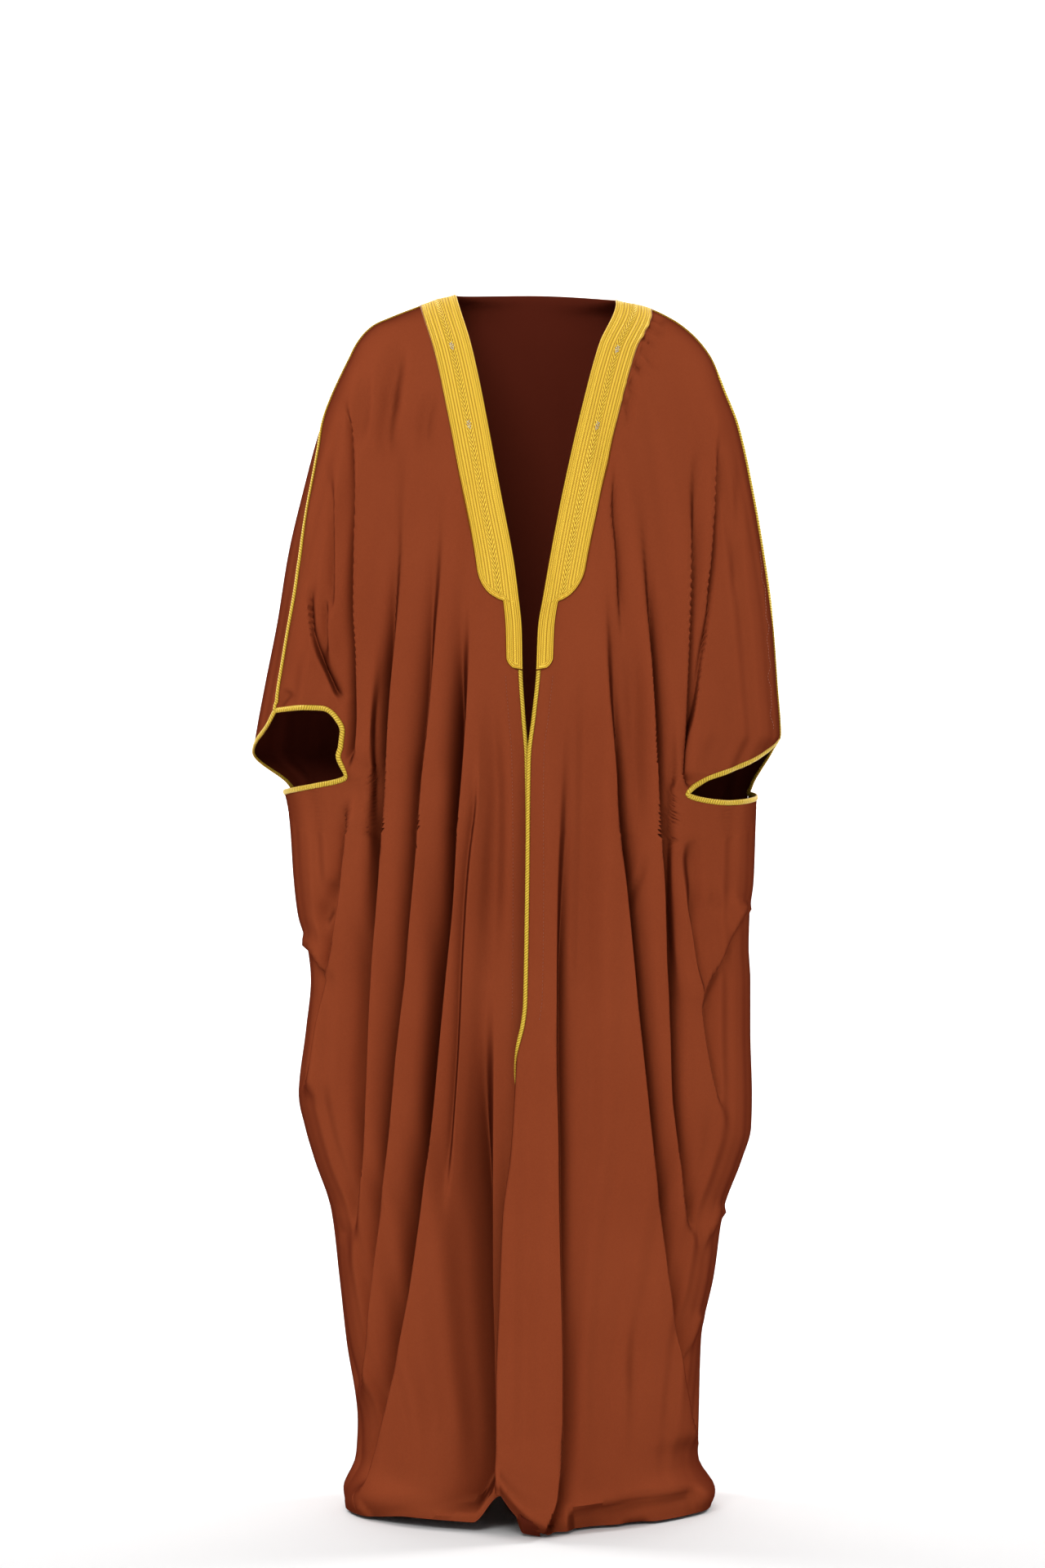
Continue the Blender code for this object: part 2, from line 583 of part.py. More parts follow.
def addBody(name, lower, upper, ring, look, swapped=None):
    """One closed body between two grids of points. A ring joins its last row to its first.
    Swapped cells are cut along their other diagonal, to match the panel that they lie on."""
    rows, columns = lower.shape[:2]
    count = rows * columns
    vertices = np.concatenate([upper.reshape(-1, 3), lower.reshape(-1, 3)])
    faces = []

    def index(row, col):
        return (row % rows) * columns + col

    last = rows if ring else rows - 1
    for row in range(last):
        for col in range(columns - 1):
            a, b = index(row, col), index(row, col + 1)
            c, d = index(row + 1, col + 1), index(row + 1, col)
            if swapped is not None and swapped[row][col]:
                a, b, c, d = b, c, d, a
            faces.extend([(a, b, c), (a, c, d)])
            faces.extend([(c + count, b + count, a + count), (d + count, c + count, a + count)])
        for col, flip in ((0, False), (columns - 1, True)):
            a, d = index(row, col), index(row + 1, col)
            wallFace = (a, d, d + count, a + count)
            faces.append(wallFace[::-1] if flip else wallFace)
    if not ring:
        for row, flip in ((0, True), (rows - 1, False)):
            for col in range(columns - 1):
                a, b = index(row, col), index(row, col + 1)
                wallFace = (a, b, b + count, a + count)
                faces.append(wallFace if not flip else wallFace[::-1])
    mesh = bpy.data.meshes.new(name)
    mesh.from_pydata(vertices.tolist(), [], faces)
    signedVolume = 0.0
    mesh.calc_loop_triangles()
    for triangle in mesh.loop_triangles:
        a, b, c = (mesh.vertices[k].co for k in triangle.vertices)
        signedVolume += a.dot(b.cross(c))
    if signedVolume < 0:
        mesh.flip_normals()
    body = bpy.data.objects.new(name, mesh)
    bpy.context.collection.objects.link(body)
    mesh.materials.append(material(name, *look))
    return body


def between(start, end, distance):
    """A point this far from start on the straight line to end."""
    step = end - start
    return start + step / np.linalg.norm(step, axis=-1, keepdims=True) * distance


def bandGrid(side, points, facing):
    """The neck band's rows on the front: full width, then a rounded corner, then the narrow tail."""
    rows = panelRows()
    edgeZ = edgeCurve(side, rows)[1]
    corner = [-0.344, -0.356, -0.366, -0.374, -0.379, -0.382, -0.384, -0.452, -0.458, -0.462, tailEndZ]
    whole = [float(k) for k, z in enumerate(edgeZ) if z > tailEndZ + 0.004]
    extra = np.interp(-np.array(corner), -edgeZ, np.arange(len(rows)))
    picked = np.array(sorted(whole + list(extra)))
    picked = picked[np.concatenate([[True], np.diff(picked) > 0.02])]
    levels = np.interp(picked, np.arange(len(rows)), edgeZ)
    turn = np.clip((bandCornerZ - levels) / (bandCornerZ - bandEndZ), 0, 1)
    width = tailWidth + (bandWidth - tailWidth) * np.sqrt(1 - turn ** 2)
    turn = np.clip((-0.452 - levels) / (-0.452 - tailEndZ), 0, 1)
    width = width * (0.4 + 0.6 * np.sqrt(1 - 0.98 * turn ** 2))
    fixed = np.array([0.0, cordWidth, tailWidth, 0.033, bandWidth])
    reach = fixed[None, :] * width[:, None] / bandWidth
    col = np.interp(reach, fixed, np.arange(5))
    row = picked[:, None] + 0 * col
    return onGrid(points, facing, row, col)


def backBandGrid(points, facing):
    """The band round the back of the neck, which tapers round each shoulder to meet the front bands."""
    reach = [0.0, cordWidth, tailWidth, 0.033, bandWidth]
    first = len(seamStations(-1)[0]) - 1
    last = first + neckColumns
    col = np.arange(first - 4, last + 5)
    away = np.array([reach[max(first - k, k - last, 0)] for k in col])
    width = np.sqrt(np.maximum(bandWidth ** 2 - away ** 2, 0.004 ** 2))
    row = width[:, None] / bandWidth * np.arange(5)
    return onGrid(points, facing, row, col[:, None] + 0.0 * row)


clothLook = ((0.27, 0.055, 0.018), 0.0, 0.6)
goldLook = ((0.83, 0.50, 0.07), 0.8, 0.35)

for old in list(bpy.data.objects):
    bpy.data.objects.remove(old)

fronts = {}
for side in (-1, 1):
    points, facing = frontGrid(side)
    fronts[side] = (points, facing)
    outer = trimmed(points)
    addBody("front_" + names[side], outer - facing * wall, outer, False, clothLook)

entries = backColumns()
backPoints, backFacing = backGrid(entries)
outer = trimmed(backPoints)
addBody("back", outer - backFacing * wall, outer, False, clothLook)

for side in (-1, 1):
    points, facing = bandGrid(side, *fronts[side])
    outer = trimmed(points)
    under, over = outer + facing * lift, outer + facing * (lift + bandThick)
    addBody("neck_band_" + names[side], under, over, False, goldLook)
points, facing = backBandGrid(backPoints, backFacing)
outer = trimmed(points)
under, over = outer + facing * lift, outer + facing * (lift + bandThick)
addBody("neck_band_back", under, over, False, goldLook)

rowList = panelRows()
cornerIndex = int(np.argmin(np.abs(rowList - cornerRow)))
for side in (-1, 1):
    points, facing = fronts[side]
    edgeZ = edgeCurve(side, rowList)[1]
    start = int(np.argmax(edgeZ < tailEndZ - 0.006))
    firstRow, firstFacing = frontRow(
        side,
        frontLines(side, np.array([np.interp(-tailEndZ + 0.001, -edgeZ, rowList)]))[0],
        np.array([0.0, cordWidth]),
    )
    strip = np.concatenate([firstRow[None], points[start:, :2]])
    out = np.concatenate([firstFacing[None], facing[start:, :2]])
    strip[-1] = between(strip[-1], strip[-2], 0.0006)
    under, over = strip + out * lift, strip + out * (lift + cordThick)
    addBody("front_edge_" + names[side], under, over, False, goldLook)

    # The seam cord sits across the seam, on the front's first row and the back's
    count = points.shape[1]
    behind = backPoints[:, :count][:, ::-1] if side < 0 else backPoints[:, -count:]
    skip = 5
    seam = points[0, skip:]
    ahead = between(seam, points[1, skip:], seamCordWidth / 2)
    after = between(seam, behind[1, skip:], seamCordWidth / 2)
    strip = np.stack([ahead, seam, after], axis=1)
    out = facing[0, skip:, None] + 0 * strip
    strip = strip[:-1]
    out = out[:-1]
    swapped = [(True, side < 0)] * len(strip)
    lower, upper = strip + out * seamLift, strip + out * (seamLift + cordThick)
    addBody("shoulder_cord_" + names[side], lower, upper, False, goldLook, swapped)

    # The cuff binding runs round the hand opening, along the front's edge and then the back's
    behindFacing = backFacing[:, :count][:, ::-1] if side < 0 else backFacing[:, -count:]
    rim = slice(0, cornerIndex + 1)
    frontEdge, frontOut = points[rim, -1], facing[rim, -1]
    backEdge, backOut = behind[rim, -1], behindFacing[rim, -1]
    frontAway = frontEdge - inset(frontEdge, points[rim, -2], 1.0)
    backAway = backEdge - inset(backEdge, behind[rim, -2], 1.0)
    wrist = points[0, -1] - between(points[0, -1], points[0, -2], 1.0)
    corner = frontEdge[-1] - between(frontEdge[-1], points[cornerIndex + 1, -1], 1.0)
    edge = np.concatenate([frontEdge, backEdge[1:-1][::-1]])
    out = np.concatenate([frontOut, backOut[1:-1][::-1]])
    away = np.concatenate([wrist[None], frontAway[1:-1], corner[None], backAway[1:-1][::-1]])
    ring = np.stack([edge, edge + away * bindingReach], axis=1)
    out = np.stack([out, out], axis=1)
    lower = ring - out * (wall + bindingProud)
    addBody("cuff_binding_" + names[side], lower, ring + out * bindingProud, True, goldLook)
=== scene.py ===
import math
from collections import namedtuple

import bpy
import numpy as np
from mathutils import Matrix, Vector


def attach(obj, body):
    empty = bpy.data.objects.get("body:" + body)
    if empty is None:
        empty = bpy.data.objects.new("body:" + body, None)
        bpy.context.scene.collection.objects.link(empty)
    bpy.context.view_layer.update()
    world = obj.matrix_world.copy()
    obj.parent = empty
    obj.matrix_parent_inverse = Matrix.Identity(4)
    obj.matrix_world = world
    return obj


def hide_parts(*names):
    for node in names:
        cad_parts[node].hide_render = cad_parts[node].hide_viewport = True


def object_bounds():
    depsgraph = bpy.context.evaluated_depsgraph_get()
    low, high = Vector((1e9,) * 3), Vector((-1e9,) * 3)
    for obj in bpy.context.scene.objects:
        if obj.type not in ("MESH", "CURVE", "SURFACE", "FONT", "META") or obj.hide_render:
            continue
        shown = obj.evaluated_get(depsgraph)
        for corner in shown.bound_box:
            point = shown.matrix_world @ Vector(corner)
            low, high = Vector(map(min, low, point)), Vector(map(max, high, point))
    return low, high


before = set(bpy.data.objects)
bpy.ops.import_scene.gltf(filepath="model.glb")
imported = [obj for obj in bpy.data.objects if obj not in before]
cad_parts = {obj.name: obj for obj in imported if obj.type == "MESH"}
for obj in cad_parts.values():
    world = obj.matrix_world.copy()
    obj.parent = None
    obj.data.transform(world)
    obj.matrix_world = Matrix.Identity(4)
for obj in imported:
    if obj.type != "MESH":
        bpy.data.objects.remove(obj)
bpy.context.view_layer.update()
print("frame loaded")

# Metres in the part's own frame: x to the wearer's left, y to the back, z = 0 on the shoulder line.
# Side -1 is the wearer's right, side 1 the wearer's left.
sideNames = {-1: "Right", 1: "Left"}
sideWords = {-1: "right", 1: "left"}

cut = {
    "hem": -1.4915,
    "neckTop": {-1: 0.003, 1: -0.003},
    "bandWidth": 0.047,
    "tailWidth": 0.020,
    "bandCorner": -0.344,       # where the band starts to narrow
    "bandEnd": -0.382,          # where only its tail goes on
    "tailEnd": -0.464,
    "cuffCorner": 0.410,        # share of the front's rows above the hand opening's corner
    "cuffCornerEdge": -0.660,   # height of the front's own edge at that row
}

# Half widths and depths of the draped robe at each height
Section = namedtuple("Section", "z right left front back")
sections = [
    Section(0.014, 0.088, 0.102, 0.022, 0.068),
    Section(0.003, 0.0905, 0.104, 0.028, 0.071),
    Section(-0.004, 0.115, 0.108, 0.034, 0.074),
    Section(-0.013, 0.139, 0.145, 0.042, 0.077),
    Section(-0.025, 0.170, 0.172, 0.050, 0.081),
    Section(-0.035, 0.192, 0.188, 0.056, 0.084),
    Section(-0.055, 0.211, 0.210, 0.068, 0.090),
    Section(-0.076, 0.222, 0.225, 0.078, 0.096),
    Section(-0.116, 0.241, 0.241, 0.095, 0.106),
    Section(-0.157, 0.257, 0.257, 0.108, 0.115),
    Section(-0.237, 0.279, 0.275, 0.124, 0.128),
    Section(-0.318, 0.298, 0.289, 0.133, 0.136),
    Section(-0.399, 0.311, 0.300, 0.138, 0.140),
    Section(-0.480, 0.327, 0.306, 0.142, 0.143),
    Section(-0.540, 0.338, 0.310, 0.144, 0.145),
    Section(-0.561, 0.341, 0.300, 0.145, 0.146),
    Section(-0.601, 0.306, 0.283, 0.147, 0.147),
    Section(-0.641, 0.297, 0.281, 0.149, 0.149),
    Section(-0.722, 0.291, 0.278, 0.152, 0.152),
    Section(-0.763, 0.286, 0.273, 0.154, 0.154),
    Section(-0.803, 0.274, 0.272, 0.156, 0.156),
    Section(-0.843, 0.270, 0.274, 0.157, 0.158),
    Section(-0.904, 0.276, 0.274, 0.160, 0.160),
    Section(-0.985, 0.285, 0.276, 0.163, 0.163),
    Section(-1.025, 0.277, 0.275, 0.165, 0.164),
    Section(-1.066, 0.265, 0.263, 0.166, 0.165),
    Section(-1.126, 0.245, 0.241, 0.168, 0.166),
    Section(-1.207, 0.235, 0.229, 0.171, 0.168),
    Section(-1.288, 0.226, 0.213, 0.173, 0.170),
    Section(-1.389, 0.212, 0.210, 0.176, 0.172),
    Section(-1.429, 0.214, 0.209, 0.177, 0.173),
    Section(-1.470, 0.226, 0.224, 0.178, 0.174),
    Section(-1.500, 0.226, 0.227, 0.178, 0.174),
]

# Where each front's edge runs: beside the neck, down the open V, then one front over the other
FrontEdge = namedtuple("FrontEdge", "z right left")
frontEdges = [
    FrontEdge(0.003, 0.0900, 0.1045),
    FrontEdge(-0.007, 0.0875, 0.1070),
    FrontEdge(-0.065, 0.0705, 0.0850),
    FrontEdge(-0.160, 0.0505, 0.0600),
    FrontEdge(-0.255, 0.0330, 0.0390),
    FrontEdge(-0.335, 0.0180, 0.0235),
    FrontEdge(-0.370, 0.0135, 0.0175),
    FrontEdge(-0.415, 0.0090, 0.0105),
    FrontEdge(-0.465, 0.0080, 0.0085),
    FrontEdge(-0.520, 0.0045, 0.0030),
    FrontEdge(-0.572, 0.0005, -0.0030),
    FrontEdge(-0.720, -0.0010, -0.0050),
    FrontEdge(-0.880, 0.0000, -0.0080),
    FrontEdge(-1.040, 0.0020, -0.0160),
    FrontEdge(-1.112, 0.0030, -0.0270),
    FrontEdge(-1.230, 0.0030, -0.0320),
    FrontEdge(-1.330, 0.0020, -0.0350),
    FrontEdge(-1.500, 0.0010, -0.0350),
]

# Angle round the body of the shoulder and sleeve-top seam, 90 at the side and less in front
SeamStop = namedtuple("SeamStop", "z right left")
seamStops = [
    SeamStop(0.010, 90.0, 90.0),
    SeamStop(-0.100, 90.0, 90.0),
    SeamStop(-0.137, 86.0, 89.0),
    SeamStop(-0.190, 76.5, 87.5),
    SeamStop(-0.250, 73.0, 87.5),
    SeamStop(-0.330, 69.5, 88.0),
    SeamStop(-0.420, 69.5, 89.0),
    SeamStop(-0.560, 69.0, 88.0),
]

# The outer edge of front and back from the wrist round the hand opening to its corner, where they meet
CuffStop = namedtuple("CuffStop", "row frontAngle frontZ backAngle backZ")
rightCuff = [
    CuffStop(0.000, 69.0, -0.511, 69.0, -0.511),
    CuffStop(0.045, 56.0, -0.508, 72.0, -0.527),
    CuffStop(0.080, 49.0, -0.509, 75.5, -0.536),
    CuffStop(0.130, 44.0, -0.522, 80.0, -0.545),
    CuffStop(0.180, 42.0, -0.538, 84.5, -0.553),
    CuffStop(0.225, 42.0, -0.556, 88.5, -0.561),
    CuffStop(0.250, 43.0, -0.568, 91.0, -0.567),
    CuffStop(0.305, 45.0, -0.592, 97.0, -0.583),
    CuffStop(0.360, 68.0, -0.607, 102.5, -0.600),
    CuffStop(0.410, 107.0, -0.615, 107.0, -0.615),
]
leftCuff = [
    CuffStop(0.000, 88.0, -0.546, 88.0, -0.546),
    CuffStop(0.045, 77.0, -0.561, 89.5, -0.556),
    CuffStop(0.080, 70.0, -0.570, 90.5, -0.561),
    CuffStop(0.130, 62.0, -0.580, 92.0, -0.567),
    CuffStop(0.180, 55.0, -0.588, 94.0, -0.574),
    CuffStop(0.225, 50.0, -0.594, 95.5, -0.580),
    CuffStop(0.250, 47.5, -0.599, 97.0, -0.586),
    CuffStop(0.305, 42.5, -0.613, 100.0, -0.597),
    CuffStop(0.360, 60.0, -0.624, 102.5, -0.606),
    CuffStop(0.410, 105.0, -0.613, 105.0, -0.613),
]
cuffs = {-1: rightCuff, 1: leftCuff}

# The side seam below the hand opening
SideStop = namedtuple("SideStop", "row z angle")
sideStops = [
    SideStop(0.450, -0.680, 99.0),
    SideStop(0.500, -0.763, 94.0),
    SideStop(0.530, -0.803, 93.0),
    SideStop(0.560, -0.843, 92.0),
    SideStop(0.610, -0.904, 91.0),
    SideStop(0.660, -0.985, 90.0),
    SideStop(0.710, -1.055, 90.0),
    SideStop(0.755, -1.126, 90.0),
    SideStop(0.810, -1.207, 90.0),
    SideStop(0.870, -1.300, 90.0),
    SideStop(0.930, -1.400, 90.0),
    SideStop(0.962, -1.446, 90.0),
    SideStop(0.982, -1.472, 90.0),
    SideStop(1.000, cut["hem"], 90.0),
]

# Folds as seen from the front, each a line of (across, height) in centimetres. The crest stands rise out of
# the cloth and slopes off over near; beyond it the cloth falls by drop into a valley as wide as gap, which
# lies towards the middle where gap is below 0. A soft hollow has a rise below 0 and no drop, and slopes up
# over near and gap. start and end are the shares of the line over which the fold fades in and out.
Fold = namedtuple("Fold", "name rise near drop gap start end line")
rightFolds = [
    Fold("sleeveEdge", 0.9, 2.4, 2.1, 0.75, 0.14, 0.1, [
        (-21.4, -9.8), (-22, -13.1), (-21.7, -16.7), (-21.3, -23.7), (-21.5, -30.8), (-21.6, -38.4),
        (-21.3, -44.7), (-21.2, -51), (-21.5, -56.5), (-22.1, -60.1),
    ]),
    Fold("sleeveRidge", 0.7, 1.2, 0.6, 0.9, 0.3, 0.3, [
        (-23.6, -17.7), (-23.8, -23.7), (-23.9, -31.8), (-23.8, -38.9), (-23.2, -43.9),
    ]),
    Fold("wristFold", 0.8, 2.6, 1.5, -0.7, 0.3, 0.15, [
        (-27.9, -32.8), (-27.3, -37.6), (-27, -40.9), (-26.3, -43.8), (-25.2, -46.4), (-24.1, -48.9),
        (-23.3, -51),
    ]),
    Fold("wristRidge", 0.7, 0.7, 0.6, 0.8, 0.4, 0.4, [
        (-24.6, -33.9), (-24.7, -39.9), (-24.5, -43.9), (-23.8, -47.5),
    ]),
    Fold("wristTuck", -0.6, 0.5, 0, 0.7, 0.3, 0.2, [(-29.4, -48.5), (-30.2, -49.5), (-31, -50.6)]),
    Fold("pleatA", 1, 2.4, 2.3, 1.7, 0.34, 0.16, [
        (-14.1, -13.1), (-14.6, -17.4), (-15, -23.6), (-15.3, -29.8), (-16, -37.9), (-16.6, -43.9),
        (-17.3, -52), (-17.7, -60.1), (-18.4, -70.2), (-19.1, -80.9), (-19.6, -89.8), (-19.9, -97.5),
        (-20.4, -105.7), (-20.9, -111.3), (-21.3, -116.9), (-21.7, -120.5), (-22.2, -123.7),
    ]),
    Fold("pleatARim", 0.9, 1.8, 1.1, -0.8, 0.4, 0.4, [
        (-18.7, -37.4), (-19, -43.9), (-19.3, -54), (-19.5, -60.1), (-19.8, -68.2), (-20.1, -72.2),
        (-20.6, -77.3),
    ]),
    Fold("pleatB", 0.9, 2.2, 1.8, 1.5, 0.3, 0.04, [
        (-9.9, -15.7), (-10.3, -25.8), (-10.6, -32.5), (-11.3, -39.9), (-12, -48), (-12.8, -56.1),
        (-13.3, -60.1), (-14, -70.2), (-14.8, -79.3), (-15.2, -84.3), (-16.2, -92.4), (-16.8, -99.2),
        (-17.4, -105.7), (-18.5, -115.2), (-19.6, -124.4), (-20.2, -129.5), (-20.7, -134),
        (-21.1, -137.7),
    ]),
    Fold("pleatC", 1.3, 3.6, 2.7, 1.9, 0.2, 0.05, [
        (-7.2, -32.3), (-7.2, -39.9), (-7.5, -48), (-8.3, -60.1), (-8.7, -64.1), (-9.2, -74.2),
        (-10.2, -84.3), (-11.2, -94.4), (-12, -102.6), (-13, -110.4), (-14.1, -118.6), (-15.2, -126),
        (-16, -130), (-16.8, -134), (-17.7, -138.2), (-18.5, -141.6), (-19.1, -143.8), (-19.8, -146.4),
        (-20.5, -148.1), (-21.3, -149.1), (-22.3, -149.8),
    ]),
    Fold("pleatD", 0.5, 1.2, 0.8, 1.2, 0.25, 0.25, [
        (-4.8, -48), (-5.6, -54), (-6.1, -62.1), (-6.9, -69), (-7.7, -80.9), (-8.4, -92.7),
        (-9.3, -104.2), (-9.9, -112.6), (-10.1, -120.7),
    ]),
    Fold("centreFall", -1.4, 1.1, 0, 1.6, 0.3, 0.4, [
        (-5.1, -46), (-4.5, -54), (-4.1, -62.1), (-4.2, -70.2), (-4.5, -79.3), (-4.8, -87.4),
    ]),
    Fold("centreWell", 0.3, 0.8, 3.6, 5.2, 0.5, 0.02, [
        (-3.9, -79.3), (-4.1, -89.4), (-4.3, -98.5), (-4.4, -108.6), (-4.4, -120.7), (-4.2, -128.8),
        (-4, -139.9), (-3.6, -151.2),
    ]),
    Fold("gatherA", -1.1, 0.9, 0, 1.1, 0.4, 0.4, [
        (-15.2, -4.8), (-16.3, -8.1), (-16.9, -12), (-17.3, -17.2),
    ]),
    Fold("gatherB", -0.9, 0.7, 0, 1.0, 0.4, 0.4, [
        (-19.8, -7.6), (-20.3, -10.6), (-20.4, -14.6), (-20.3, -19.7),
    ]),
    Fold("gatherC", -1.1, 0.9, 0, 1.1, 0.4, 0.4, [
        (-16.8, -7.6), (-17.6, -11.1), (-17.8, -15.7), (-17.5, -21.2),
    ]),
    Fold("gatherD", -0.9, 0.7, 0, 1.0, 0.4, 0.4, [
        (-10.6, -10.6), (-11.9, -12.1), (-12.8, -14.6), (-13.3, -19.7),
    ]),
    Fold("bagRidge", 1.2, 2.6, 1.8, 1, 0.12, 0.06, [
        (-21.9, -60.6), (-22.4, -65.2), (-22.9, -70.2), (-23.6, -76.3), (-24.3, -81.3), (-25, -85.4),
        (-26.1, -90.4), (-26.7, -94.4), (-27.2, -96.7), (-28.2, -98.7),
    ]),
    Fold("bagRim", 0.8, 1.6, 1.1, 0.7, 0.3, 0.12, [
        (-28.9, -78.3), (-27.9, -80), (-26.7, -81.5), (-26, -82.7), (-24.7, -84.6),
    ]),
    Fold("bagWell", -2.2, 1, 0, 1.1, 0.35, 0.35, [
        (-24, -71.2), (-24.5, -74.2), (-25.4, -76.3), (-26.7, -77.7),
    ]),
    Fold("sideNick", -0.6, 0.8, 0, 0.5, 0.3, 0.3, [(-24.2, -114.7), (-23.6, -115.4), (-22.6, -116.3)]),
    Fold("hemCurl", 1, 1.4, 0, 1.1, 0.2, 0.2, [
        (-23.2, -149.5), (-22.2, -149.8), (-21, -150), (-19.8, -149.5),
    ]),
]
